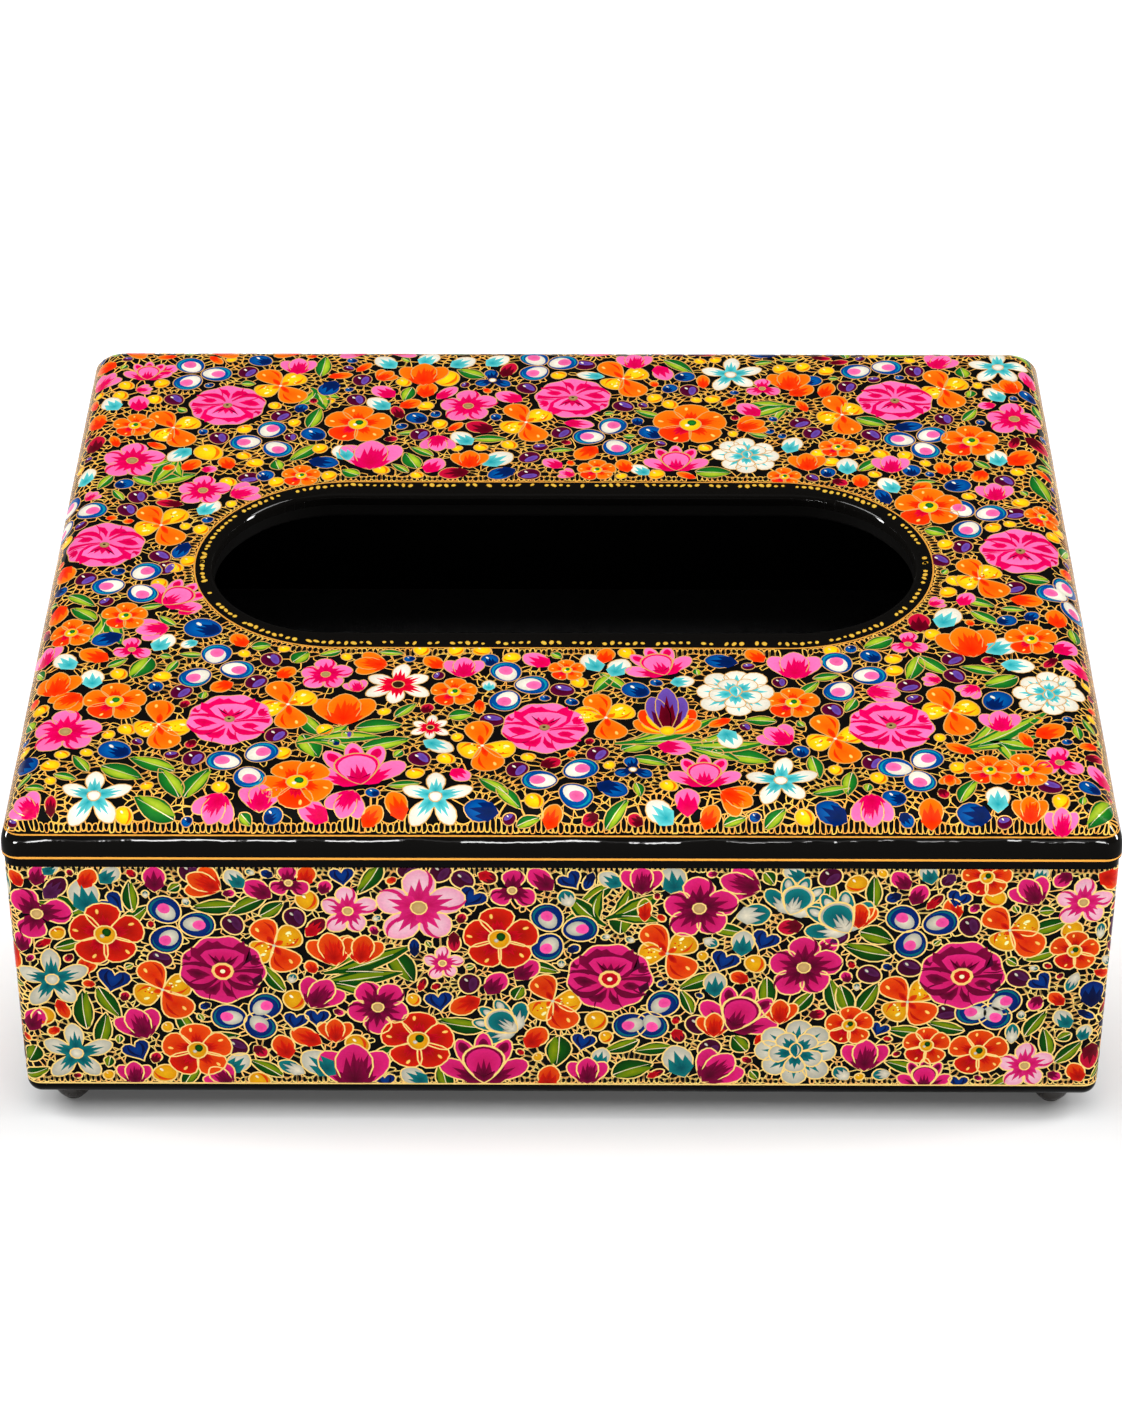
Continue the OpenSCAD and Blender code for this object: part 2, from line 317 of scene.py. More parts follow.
deselect_all()
bpy.ops.mesh.primitive_plane_add(size=1, location=(0, 0, 0))
lid_coat = bpy.context.object
lid_coat.name = "lid_lacquer"
lid_coat.scale = (lid_w + 2 * coat_t, lid_d + 2 * coat_t, 1)
lid_coat.location = (0, 0, lid_rim)
settle(lid_coat)
pick_vertices(lid_coat, lambda co: True)
bpy.ops.mesh.bevel(offset=lid_corner_r + coat_t, segments=12, profile=0.5, affect="VERTICES")
bpy.ops.mesh.delete(type="ONLY_FACE")
pick_vertices(lid_coat, lambda co: True)
rim_rise = lid_top - shoulder_r - lid_rim
bpy.ops.mesh.extrude_region_move(TRANSFORM_OT_translate={"value": (0, 0, rim_rise)})


def draw_ring_in(piece, level, rise, draw):
    """Extrudes the ring at this level, lifts it, and moves its four corners in."""
    pick_vertices(piece, lambda co: co.z > level - hair)
    bpy.ops.mesh.extrude_region_move(TRANSFORM_OT_translate={"value": (0, 0, rise)})
    for sx in (-1, 1):
        for sy in (-1, 1):
            pick_vertices(piece, lambda co: (
                co.z > level + rise - hair and co.x * sx > 0 and co.y * sy > 0))
            bpy.ops.transform.translate(value=(-sx * draw, -sy * draw, 0))


roll_r = shoulder_r + coat_t
level = lid_top - shoulder_r
turned = 0.0
for step in range(shoulder_steps):
    turn = (step + 1) * math.pi / 2 / shoulder_steps
    rise = roll_r * (math.sin(turn) - math.sin(turned))
    draw_ring_in(lid_coat, level, rise, roll_r * (math.cos(turned) - math.cos(turn)))
    level += rise
    turned = turn
bpy.ops.object.mode_set(mode="OBJECT")

deselect_all()
bpy.ops.mesh.primitive_circle_add(
    vertices=slot_points, radius=slot_mouth_r, location=(0, slot_y, level),
    rotation=(0, 0, math.pi / slot_points))
slot_coat = bpy.context.object
settle(slot_coat)
for side in (-1, 1):
    pick_vertices(slot_coat, lambda co: co.x * side > 0)
    bpy.ops.transform.translate(value=(side * slot_run / 2, 0, 0))
turned = 0.0
for step in range(slot_steps + 1):
    turn = min((step + 1) * math.pi / 2 / slot_steps, math.pi / 2)
    roll_down = (slot_edge_r + coat_t) * (math.cos(turned) - math.cos(turn))
    drop = slot_wall_h if step == slot_steps else roll_down
    out = slot_mouth_r - (slot_edge_r + coat_t) * math.sin(turned)
    into = slot_mouth_r - (slot_edge_r + coat_t) * math.sin(turn)
    low = min(v.co.z for v in slot_coat.data.vertices)
    pick_vertices(slot_coat, lambda co: co.z < low + hair)
    bpy.ops.mesh.extrude_region_move(TRANSFORM_OT_translate={"value": (0, 0, -drop)})
    for side in (-1, 1):
        pick_vertices(slot_coat, lambda co: co.z < low - drop + hair and co.x * side > 0)
        bpy.ops.transform.resize(
            value=(into / out, into / out, 1),
            center_override=(side * slot_run / 2, slot_y, 0))
    turned = turn
bpy.ops.object.mode_set(mode="OBJECT")
lid_coat.select_set(True)
bpy.context.view_layer.objects.active = lid_coat
bpy.ops.object.join()
bpy.ops.object.mode_set(mode="EDIT")
pick_vertices(lid_coat, lambda co: co.z > level - hair)
bpy.ops.mesh.fill(use_beauty=True)
bpy.ops.mesh.select_all(action="SELECT")
bpy.ops.mesh.normals_make_consistent(inside=False)
bpy.ops.object.mode_set(mode="OBJECT")
finish_coat(lid_coat, "lid", lid_black_painted_darker)


# ---- Base panel, felt and lip strips ----
# A board of pressed pulp closes the box from inside and lies under black felt. Three
# strips of painted board are glued round the mouth and stand up into the lid.
def pulp_board():
    material, shader = new_material("pulp_board", (0.2, 0.15, 0.1), 0.85)
    noise = object_noise(material, 900, 8, 0.7)
    vary_colour(material, shader, noise, (0.13, 0.095, 0.062), (0.3, 0.235, 0.165))
    vary_roughness(material, shader, noise, 0.75, 0.95)
    add_bump(material, shader, noise, 0.3 * MM, 0.6)
    return material


def black_felt():
    material, shader = new_material(
        "black_felt", (0.012, 0.012, 0.013), 0.95,
        Specular_IOR_Level=0.1, Sheen_Weight=0.35, Sheen_Roughness=0.6)
    noise = object_noise(material, 2600, 8, 0.8)
    vary_colour(material, shader, noise, (0.005, 0.005, 0.006), (0.028, 0.027, 0.028))
    add_bump(material, shader, noise, 0.5 * MM, 0.9)
    return material


dress("base_panel", pulp_board())
dress("floor_felt", black_felt())
for strip in ("front_lip_strip", "left_lip_strip", "right_lip_strip"):
    dress(strip, inside_black)


# ---- Feet ----
# Four small turned feet of wood stained black and polished, each held by a steel
# screw whose head lies under the felt.
def ebonised_wood():
    material, shader = new_material("ebonised_wood", (0.008, 0.006, 0.005), 0.25)
    grain = object_noise(material, 500, 6, 0.6)
    stretch = add_node(material, "ShaderNodeMapping", Scale=(1, 1, 0.12))
    place = add_node(material, "ShaderNodeTexCoord")
    link(place, "Object", stretch, "Vector")
    link(stretch, "Vector", grain, "Vector")
    vary_colour(material, shader, grain, (0.004, 0.003, 0.003), (0.02, 0.014, 0.01))
    vary_roughness(material, shader, grain, 0.18, 0.38)
    add_bump(material, shader, grain, 0.1 * MM, 0.4)
    return material


def bare_metal(name, dull, bright, low, high):
    """Metal with the fine scratches and dull patches of small fittings."""
    material, shader = new_material(name, bright, (low + high) / 2, Metallic=1.0)
    noise = object_noise(material, 1200, 7, 0.65)
    vary_colour(material, shader, noise, dull, bright)
    vary_roughness(material, shader, noise, low, high)
    add_bump(material, shader, noise, 0.03 * MM, 0.3)
    return material


black_wood = ebonised_wood()
for foot in ("front_left_foot", "front_right_foot", "back_left_foot", "back_right_foot"):
    dress(foot, black_wood)
dress("foot_screws", bare_metal("steel", (0.36, 0.36, 0.37), (0.6, 0.6, 0.62), 0.25, 0.45))


# ---- Hinges ----
# Two small brass butt hinges are let into the seam at the back: knuckled leaves on a
# pin, each held by countersunk brass screws.
brass = bare_metal("brass", (0.5, 0.33, 0.1), (0.82, 0.6, 0.24), 0.18, 0.4)
for side in ("left", "right"):
    for part in ("body_leaf", "lid_leaf", "pin", "body_screws", "lid_screws"):
        dress(f"{side}_hinge_{part}", brass)


# ---- Painting: how a dab of paint lies on the box ----
# The flowers are tempera on the black ground, dab over dab, with a net of shell gold
# drawn between them. Each dab is a thin sheet: it is drawn flat in millimetres, bent
# with the shoulder or corner that it crosses, and laid just over the dab before it.
flat_w = lid_w / MM / 2 - shoulder_r / MM
flat_d = lid_d / MM / 2 - shoulder_r / MM
roll = shoulder_r / MM
tight = lid_corner_r / MM
wall_w = body_w / MM / 2 - body_corner_r / MM
wall_d = body_d / MM / 2 - body_corner_r / MM
turn_r = body_corner_r / MM
paint_t = 0.016  # mm from one level of paint to the next
line_level = 0.45  # how far a dab's gold line stands over it, in levels
shortest_edge = 0.12  # mm, below which an edge is not halved
usual_bend = 3.5  # degrees that the box may turn along an edge before it is halved
largest_bend = {"net": 6}


def over_lid(flat):
    """Places in mm and normals on the lid of points on its unrolled sheet."""
    side = np.where(flat < 0, -1.0, 1.0)
    q = np.abs(flat) - (flat_w - tight, flat_d - tight)
    far, near = q.max(1), q.min(1)
    rounded = (near > 0) & (far - near < tight)
    cut = (far + near - np.sqrt(np.maximum(2 * tight**2 - (far - near)**2, 0))) / 2
    down = np.where(rounded, cut, far - tight).clip(0)[:, None]
    rounded = rounded[:, None]
    turn = (down / roll).clip(0, math.pi / 2)
    out = roll * np.sin(turn)
    drop = roll * (1 - np.cos(turn)) + (down - roll * math.pi / 2).clip(0)
    ahead = (q >= far[:, None]) & (down > 0)
    share = np.where(down > 0, out / np.maximum(down, 1e-9), 1)
    place = np.where(ahead, tight + out, np.where(q > 0, q * share, q))
    place = np.where(rounded & (down > 0), q - down + out, place)
    arc = np.where(rounded, (q - down) / tight, ahead)
    normal = np.column_stack((
        arc * side * np.sin(turn), np.cos(turn) * np.where(rounded, arc.sum(1)[:, None], 1)))
    normal[down[:, 0] <= 0] = (0, 0, 1)
    normal /= np.linalg.norm(normal, axis=1)[:, None]
    place = side * (place + (flat_w - tight, flat_d - tight))
    return np.column_stack((place, lid_top / MM - drop)), normal


quarter_turn = turn_r * math.pi / 2
wall_runs = [2 * wall_w, quarter_turn, 2 * wall_d, quarter_turn] * 2
wall_ends = list(np.cumsum(wall_runs))
way_round = wall_ends[-1]


def round_walls(flat):
    """Places and normals on the walls of points on a strip, 0 at the front's middle."""
    along = (flat[:, 0] + wall_w) % way_round
    place = np.zeros((len(flat), 3))
    normal = np.zeros((len(flat), 3))
    place[:, 2] = flat[:, 1]
    for i, (run, end) in enumerate(zip(wall_runs, wall_ends)):
        here = (along <= end) & (along >= end - run)
        t = along[here] - (end - run)
        out = np.array(((0, -1), (1, 0), (0, 1), (-1, 0))[i // 2])
        ahead = np.array((-out[1], out[0]))
        if i % 2:
            face = np.outer(np.cos(t / turn_r), out) + np.outer(np.sin(t / turn_r), ahead)
            place[here, :2] = (out + ahead) * (wall_w, wall_d) + face * turn_r
        else:
            face = np.ones((len(t), 1)) * out
            middle = out * (wall_w + turn_r, wall_d + turn_r)
            place[here, :2] = middle + np.outer(t - run / 2, ahead)
        normal[here, :2] = face
    return place, normal


def split_bent(points, faces, extras, lay, limit):
    """Halves the edges of triangles wherever the surface turns under them."""
    for _ in range(7):
        normal = lay(points)[1]
        ends = np.sort(faces[:, [0, 1, 1, 2, 2, 0]].reshape(-1, 2), axis=1)
        key, where = np.unique(ends[:, 0] * len(points) + ends[:, 1], return_inverse=True)
        pairs = np.column_stack((key // len(points), key % len(points)))
        bent = (normal[pairs[:, 0]] * normal[pairs[:, 1]]).sum(1) < limit
        bent &= np.linalg.norm(points[pairs[:, 0]] - points[pairs[:, 1]], axis=1) > shortest_edge
        if not bent.any():
            break
        new = np.full(len(pairs), -1)
        new[bent] = len(points) + np.arange(bent.sum())
        half = pairs[bent]
        points = np.vstack((points, points[half].mean(1)))
        extras = np.vstack((extras, extras[half].mean(1)))
        mids = new[where.reshape(-1, 3)]
        count = (mids >= 0).sum(1)
        done = [faces[count == 0]]
        for k in range(3):
            a, b, c = (faces[:, (k + i) % 3] for i in range(3))
            m, n, o = (mids[:, (k + i) % 3] for i in range(3))
            one = (count == 1) & (m >= 0)
            done += [np.column_stack((a, m, c))[one], np.column_stack((m, b, c))[one]]
            two = (count == 2) & (o < 0)
            done += [np.column_stack(three)[two] for three in ((a, m, c), (m, b, n), (m, n, c))]
        a, b, c = faces.T
        m, n, o = mids.T
        done += [np.column_stack(three)[count == 3]
                 for three in ((a, m, o), (m, b, n), (o, n, c), (m, n, o))]
        faces = np.vstack(done)
    return points, faces, extras


def linear(*colour):
    """A colour as the eye reads it, as the renderer wants it."""
    return np.array([
        ((c + 0.055) / 1.055)**2.4 if c > 0.04 else c / 12.92 for c in colour])


class Sheet:
    """One painted face of the box: its dabs by the family of their pigment."""

    def __init__(self, name, body, lay, contour, colours, trim):
        self.name, self.body, self.lay, self.trim = name, body, lay, trim
        self.contour = contour
        self.bold = contour > 0.3
        self.colours = {key: (family, linear(*edge), linear(*heart))
                        for key, (family, edge, heart) in colours.items()}
        self.paint = {}
        self.covered = []
        self.level = 2.0
        self.hand = random.Random(name)

    def add(self, family, points, faces, colours, level):
        kept = self.paint.setdefault(family, [[], [], [], 0])
        kept[0].append(self.trim(points))
        kept[1].append(np.asarray(faces) + kept[3])
        height = np.full(len(points), (self.level + level) * paint_t)
        kept[2].append(np.column_stack((colours, height)))
        kept[3] += len(points)


def dab(sheet, colour, outline, level=0.0, middle=None, contour="gold", wide=None):
    """A dab whose colour runs from its heart to its edge, with a thin line round it."""
    family, edge, heart = sheet.colours[colour]
    n = len(outline)
    for share in (0, 0.25, 0.45):
        if middle is None:
            heart_at = outline.mean(0) * (1 - share) + outline[0] * share
        else:
            heart_at = np.array(middle)
        u, v = (outline - heart_at).T
        wedges = u * np.roll(v, -1) - v * np.roll(u, -1)
        if middle is not None or (wedges * np.sign(wedges.sum()) > -1e-9).all():
            break
    if wedges.sum() < 0:
        outline = outline[::-1]
    k = np.arange(n)
    after = (k + 1) % n
    faces = np.vstack((
        np.column_stack((k, after, n + after)), np.column_stack((k, n + after, n + k)),
        np.column_stack((n + k, n + after, np.full(n, 2 * n)))))
    shade = 1 + sheet.hand.uniform(-0.08, 0.08)
    half_way = outline * 0.55 + heart_at * 0.45
    colours = np.vstack((np.tile(edge, (n, 1)), np.tile((edge + heart) / 2, (n, 1)), heart))
    sheet.add(family, np.vstack((outline, half_way, heart_at)), faces, colours * shade, level)
    if contour:
        wide = sheet.contour if wide is None else wide
        stroke(sheet, contour, outline, wide, level + line_level, closed=True)
        sheet.covered.append(sheet.trim(outline))


def stroke(sheet, colour, line, width, level=0.0, closed=False):
    """A brush stroke along a line, with its width or its widths from end to end."""
    family, edge, heart = sheet.colours[colour]
    line = np.array(line, float)
    n = len(line)
    widths = np.interp(
        np.linspace(0, 1, n), np.linspace(0, 1, np.size(width)), np.atleast_1d(width))
    ahead = np.roll(line, -1, 0) - np.roll(line, 1, 0) if closed else np.gradient(line, axis=0)
    ahead /= np.maximum(np.linalg.norm(ahead, axis=1), 1e-9)[:, None]
    across = np.column_stack((-ahead[:, 1], ahead[:, 0])) * widths[:, None] / 2
    k = np.arange(n if closed else n - 1)
    after = (k + 1) % n
    faces = np.vstack((
        np.column_stack((n + k, n + after, after)), np.column_stack((n + k, after, k))))
    colours = np.tile((edge + heart) / 2, (2 * n, 1))
    sheet.add(family, np.vstack((line + across, line - across)), faces, colours, level)


def put(shape, x, y, turn=0.0, size=1.0):
    """Scales a shape, turns it anticlockwise in degrees, and moves it to its place."""
    c, s = math.cos(math.radians(turn)), math.sin(math.radians(turn))
    return np.asarray(shape) @ np.array(((c, s), (-s, c))) * size + (x, y)


def petal(long, wide, full=1.0, blunt=0.6, lean=0.0, points=16):
    """A petal or leaf from (0, 0) up: full moves its widest place, blunt rounds its ends."""
    t = (1 - np.cos(np.linspace(0, math.pi, points // 2 + 1))) / 2
    half = wide / 2 * np.sin(math.pi * t**full)**blunt
    half[-1] = 0
    spine = lean * t**2
    left = np.column_stack((spine - half, t * long))
    right = np.column_stack((spine + half, t * long))
    return np.vstack((right, left[-2:0:-1]))


def egg(x, y, long, wide, turn=0.0, points=16):
    """A round lobe about its own middle, a little fuller at its upper end."""
    t = np.linspace(0, 2 * math.pi, points, endpoint=False)
    shape = np.column_stack((np.cos(t) * wide / 2 * (1 + 0.1 * np.sin(t)), np.sin(t) * long / 2))
    return put(shape, x, y, turn)


def flame(long, wide, teeth=4, deep=0.35):
    """A tongue of colour that starts at a point and ends in brushed teeth."""
    k = np.arange(2 * teeth + 1)
    x = wide * (k / (2 * teeth) - 0.5)
    y = long * (1 - 0.5 * (2 * x / wide)**2) * np.where((k - teeth) % 2, 1 - deep, 1)
    low = np.array(((0.27 * wide, 0.14 * long), (0.42 * wide, 0.26 * long)))
    return np.vstack(((0, 0), low, np.column_stack((x, y))[::-1], low[::-1] * (-1, 1)))


def curl(*points, steps=8):
    """A smooth line of steps through a start, a pull and an end."""
    a, b, c = (np.array(p, float) for p in points)
    t = np.linspace(0, 1, steps)[:, None]
    return a * (1 - t)**2 + 2 * b * t * (1 - t) + c * t**2


def lay_on(sheet):
    """Turns a sheet's dabs into one thin mesh for each family of pigment."""
    for family, (points, faces, extras, _) in sheet.paint.items():
        limit = math.cos(math.radians(largest_bend.get(family, usual_bend)))
        points, faces, extras = split_bent(
            np.vstack(points), np.vstack(faces), np.vstack(extras), sheet.lay, limit)
        place, normal = sheet.lay(points)
        place += normal * (coat_t / MM + extras[:, 3:])
        mesh = bpy.data.meshes.new(f"{sheet.name}_{family}_paint")
        mesh.vertices.add(len(place))
        mesh.vertices.foreach_set("co", (place * MM).ravel())
        mesh.loops.add(faces.size)
        mesh.loops.foreach_set("vertex_index", faces.ravel())
        mesh.polygons.add(len(faces))
        mesh.polygons.foreach_set("loop_start", np.arange(0, faces.size, 3))
        mesh.update(calc_edges=True)
        mesh.validate()
        shade = mesh.color_attributes.new("pigment", "FLOAT_COLOR", "POINT")
        shades = np.column_stack((extras[:, :3].clip(0, 1), np.ones(len(place))))
        shade.data.foreach_set("color", shades.ravel())
        mesh.polygons.foreach_set("use_smooth", np.ones(len(mesh.polygons), bool))
        mesh.normals_split_custom_set_from_vertices(normal)
        piece = bpy.data.objects.new(mesh.name, mesh)
        scene.collection.objects.link(piece)
        mesh.materials.append(pigment(family))
        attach(piece, sheet.body)


pigments = {}


def pigment(family):
    """Tempera under varnish: the dab's own colour, a little uneven, with a soft gloss."""
    if family not in pigments:
        material, shader = new_material(
            f"{family}_pigment", (0.5, 0.5, 0.5), 0.3, IOR=1.35, Specular_IOR_Level=0.07,
            Metallic=0.25 if family == "gold" else 0.0)
        read = add_node(material, "ShaderNodeAttribute", attribute_name="pigment")
        noise = object_noise(material, 1500, 5)
        vary_roughness(material, shader, noise, 0.1, 0.28)
        uneven = add_node(material, "ShaderNodeMapRange", To_Min=0.82, To_Max=1.14)
        scale = add_node(material, "ShaderNodeVectorMath", operation="SCALE")
        link(noise, "Fac", uneven, "Value")
        link(read, "Color", scale, 0)
        link(uneven, "Result", scale, "Scale")
        link(scale, "Vector", shader, "Base Color")
        pigments[family] = material
    return pigments[family]


# ---- Flowers of the painting ----
# The painter's set of motifs, each built of a few brushed dabs: big pink roses, the
# blue and white almonds that meet in threes, orange and yellow lobes in fours, lilies,
# irises, buds, berries and leaves.
def next_motif(sheet, rank):
    """Lays leaves lowest and roses highest, and keeps neighbours from one height."""
    sheet.level = rank + sheet.hand.uniform(0, 0.4)


def core(sheet, colour, outline, level):
    """A dab brushed inside a larger one, with no line round it."""
    dab(sheet, colour, outline, level, contour=None)


def dot(sheet, colour, x, y, r, level, contour=None):
    dab(sheet, colour, egg(x, y, 2 * r, 2 * r, points=10), level, contour=contour)


def aim(x, y, u, v):
    """How far (u, v) lies from (x, y), and in which way, in degrees from straight up."""
    return math.hypot(u - x, v - y), math.degrees(math.atan2(v - y, u - x)) - 90


rose_r = 9.7


def rose(sheet, x, y, turn=0.0):
    """The large flower: a fan petal before a toothed collar, and petals in bold strokes."""
    next_motif(sheet, 6)
    lobe = np.linspace(0, 2 * math.pi, 54, endpoint=False)
    edge = 1 + 0.035 * np.cos(9 * lobe + 1) - 0.03 * np.sin(2 * lobe)**2
    middle = np.column_stack((np.cos(lobe), np.sin(lobe))) * edge[:, None]

    def paint(colour, level, *shape, middle=None, contour=None):
        middle = None if middle is None else put(middle, x, y, turn, rose_r)
        dab(sheet, colour, put(shape, x, y, turn, rose_r), level, middle, contour)

    def brush(level, start, pull, end, *widths):
        line = put(curl(start, pull, end, steps=10), x, y, turn, rose_r)
        stroke(sheet, "magenta", line, np.array(widths) * rose_r, level)

    paint("pink", 0, *middle, contour="gold")
    for way in (-40, *range(80, 320, 40)):
        ends = [put(p, 0, 0, way) for p in ((0, 0.5), (0.1, 0.8), (0.02, 0.97))]
        brush(0.6, *ends, 0.02, 0.05, 0.02)
    paint("magenta", 0.7, (-0.15, -0.05), (-0.48, 0.2), (-0.72, 0.42), (-0.72, 0.68),
          (-0.56, 0.63), (-0.42, 0.76), (-0.3, 0.87), (-0.2, 0.8), (-0.08, 0.86), (0.02, 0.76),
          (0.14, 0.7), (0.28, 0.66), (0.4, 0.79), (0.54, 0.85), (0.57, 0.71), (0.69, 0.66),
          (0.65, 0.5), (0.6, 0.24), (0.42, 0.02), (0.12, -0.06), middle=(0.0, 0.35))
    paint("pink", 1.0, (-0.08, -0.02), (-0.34, 0.18), (-0.5, 0.43), (-0.38, 0.57), (-0.18, 0.62),
          (0.1, 0.63), (0.33, 0.58), (0.53, 0.45), (0.5, 0.26), (0.3, 0.06), (0.08, -0.04),
          middle=(0, 0.3))
    paint("magenta", 1.3, (-0.08, 0.0), (-0.2, 0.22), (-0.32, 0.49), (-0.2, 0.3), (-0.15, 0.43),
          (-0.06, 0.26), (0.03, 0.43), (0.09, 0.25), (0.23, 0.4), (0.21, 0.23), (0.4, 0.43),
          (0.27, 0.18), (0.1, 0.0), middle=(0.02, 0.12))
    paint("magenta", 1.0, (0.64, 0.3), (0.7, 0.43), (0.82, 0.45), (0.79, 0.36), (0.9, 0.35),
          (0.85, 0.26), (0.93, 0.2), (0.8, 0.12), (0.68, 0.15))
    paint("magenta", 1.0, (-0.92, 0.32), (-0.85, 0.48), (-0.78, 0.36), (-0.7, 0.4), (-0.76, 0.26))
    brush(1.0, (-0.96, 0.12), (-0.6, 0.3), (-0.15, 0.0), 0.03, 0.13, 0.06)
    brush(1.0, (-0.98, -0.2), (-0.62, -0.86), (-0.1, -0.22), 0.03, 0.21, 0.04)
    paint("magenta", 1.0, (-0.86, -0.03), (-0.72, 0.03), (-0.58, 0.02), (-0.4, -0.08),
          (-0.28, -0.17), (-0.44, -0.23), (-0.6, -0.3), (-0.76, -0.19))
    brush(1.0, (0.12, -0.1), (0.5, 0.02), (0.95, -0.06), 0.04, 0.09, 0.2)
    brush(1.0, (0.08, -0.2), (0.25, -0.68), (0.86, -0.5), 0.04, 0.22, 0.06)
    paint("magenta", 1.0, (0.3, -0.24), (0.42, -0.14), (0.56, -0.15), (0.72, -0.27),
          (0.56, -0.39), (0.38, -0.35))
    paint("magenta", 1.0, (-0.06, -0.34), (-0.26, -0.5), (-0.52, -0.6), (-0.42, -0.73),
          (-0.2, -0.77), (-0.09, -0.6))
    paint("magenta", 1.0, (0.0, -0.34), (-0.03, -0.6), (0.07, -0.8), (0.28, -0.85),
          (0.21, -0.68), (0.07, -0.52))
    if sheet.bold:
        paint("purple", 1.2, (0.66, -0.3), (0.9, -0.12), (0.93, -0.34), (0.72, -0.5))
        paint("purple", 1.2, (0.44, 0.1), (0.62, 0.34), (0.66, 0.62), (0.72, 0.3))
        for colour, size, level in (("gold", 2.6, 3.0), ("red", 1.9, 3.2), ("cream", 0.6, 3.4)):
            dot(sheet, colour, *put((0, -0.05 * rose_r), x, y, turn), size, level)
    else:
        dot(sheet, "beige", x, y, 1.25, 3.0)
        dot(sheet, "dark", x - 0.1, y + 0.2, 0.4, 3.2)


def almonds(sheet, x, y, *lobes):
    """Blue lobes that meet at a point, each with a white drop and a pink spot."""
    next_motif(sheet, 5)
    fill = 0.84 if sheet.bold else 1.0
    for i, (u, v) in enumerate(lobes):
        far, way = aim(x, y, u, v)
        long = max(8.2, far * 1.35)
        place = put((0, min(0.25, far - long / 2)), u, v, way)
        dab(sheet, "blue", egg(*place, long, 7.3, way, 20), 0.1 * i)
        shine = egg(*place, long * 0.8, 5.9, way, 20)[2:12]
        stroke(sheet, "teal_blue", shine, (0.1, 0.7, 0.1), 0.7 + 0.1 * i)
        drop, spot = put((-0.2, -0.7), *place, way), put((0.1, 0.45), *place, way)
        core(sheet, "white", egg(*drop, 5.9 * fill, 4.9 * fill, way, 18), 0.9)
        core(sheet, "rose_spot", egg(*spot, 3.6 * fill, 3.3 * fill, way, 14), 1.3)


def four(sheet, x, y, *lobes):
    """Two orange and two yellow lobes round a point, the yellow ones stippled."""
    next_motif(sheet, 5)
    for i, (u, v) in enumerate(lobes):
        far, way = aim(x, y, u, v)
        far = min(far, 6.2)
        colour = "yellow" if i in (1, 2) else "orange"
        lean = sheet.hand.uniform(-0.5, 0.5)
        shape = petal(far + 3.6, 6.7 + (i == 3), 1.75, 0.5, lean, 20)
        dab(sheet, colour, put(shape, x, y, way), 0.1 * i)
        if colour == "yellow":
            for k in range(7):
                spot = (sheet.hand.uniform(-1.7, 1.7), far + sheet.hand.uniform(-1.6, 1.9))
                tone = "orange" if k % 2 else "yellow_light"
                dot(sheet, tone, *put(spot, x, y, way), 0.24, 0.9)
        core(sheet, deeper[colour], put(petal(far * 0.7, 1.5, 1.2, 0.8), x, y, way), 0.6)
        rim = put(curl((1.4, far * 0.6), (2.7, far), (1.2, far + 2.6)), x, y, way)
        stroke(sheet, deeper[colour], rim, (0.1, 0.8, 0.1), 0.7)
        shine = put((-1.2, far + 1.2), x, y, way)
        core(sheet, colour + "_light", egg(*shine, 1.5, 0.8, way, 8), 1.0)
    dot(sheet, "white", x, y, 0.42, 1.4)


def star(sheet, x, y, size, turn=0.0, *, outer, inner, centre, wide, petals):
    """Petals of two colours round a centre, for lilies, pinks and small flowers."""
    next_motif(sheet, 5)
    for i in range(petals):
        way = turn + 360 * i / petals + sheet.hand.uniform(-6, 6)
        long = size * (0.9 if i % 2 else 1.0)
        shape = petal(long, size * wide, 1.45, 0.6, sheet.hand.uniform(-0.08, 0.08) * size)
        dab(sheet, outer, put(shape, x, y, way), 0.12 * i)
        teeth = flame(long * 0.76, size * wide * 0.7, 3, 0.4)
        core(sheet, inner, put(teeth, x, y, way), 1.2 + 0.1 * i)
        if wide > 0.6:
            bend = 0.42 * size * wide
            rim = curl(
                (0.2 * bend, 0.2 * long), (1.3 * bend, 0.75 * long), (0.4 * bend, 0.98 * long))
            widths = (0.02 * size, 0.1 * size, 0.02 * size)
            stroke(sheet, inner, put(rim, x, y, way), widths, 1.25 + 0.1 * i)
    dot(sheet, centre, x, y, max(0.8, size * 0.17), 2.0, contour="gold")


def round_flower(sheet, x, y, size, turn=0.0, *, colour):
    """Broad lobes that overlap, and a yellow middle with a green spot."""
    next_motif(sheet, 5)
    petals = 5 if size > 4 else 4
    for i in range(petals):
        way = turn + 360 * i / petals + sheet.hand.uniform(-5, 5)
        level = 0.25 * i
        tone = "red_orange" if i % 3 == 2 else colour
        shape = petal(size * sheet.hand.uniform(0.94, 1.04), size * 0.92, 1.9, 0.5)
        dab(sheet, tone, put(shape, x, y, way), level)
        teeth = flame(size * 0.66, size * 0.44, 4, 0.25)
        core(sheet, deeper[tone], put(teeth, x, y, way), level + 0.15)
        shine = put((-0.14 * size, 0.76 * size), x, y, way)
        core(sheet, "orange_light", egg(*shine, size * 0.17, size * 0.09, way, 8), level + 0.2)
    dab(sheet, "yellow", egg(x, y, size * 0.6, size * 0.56, turn, 14), 1.6)
    spot = egg(x + size * 0.04, y + size * 0.08, size * 0.28, size * 0.24, turn, 10)
    core(sheet, "green", spot, 2.2)
    dot(sheet, "white", x - size * 0.08, y - size * 0.04, size * 0.06, 2.5)


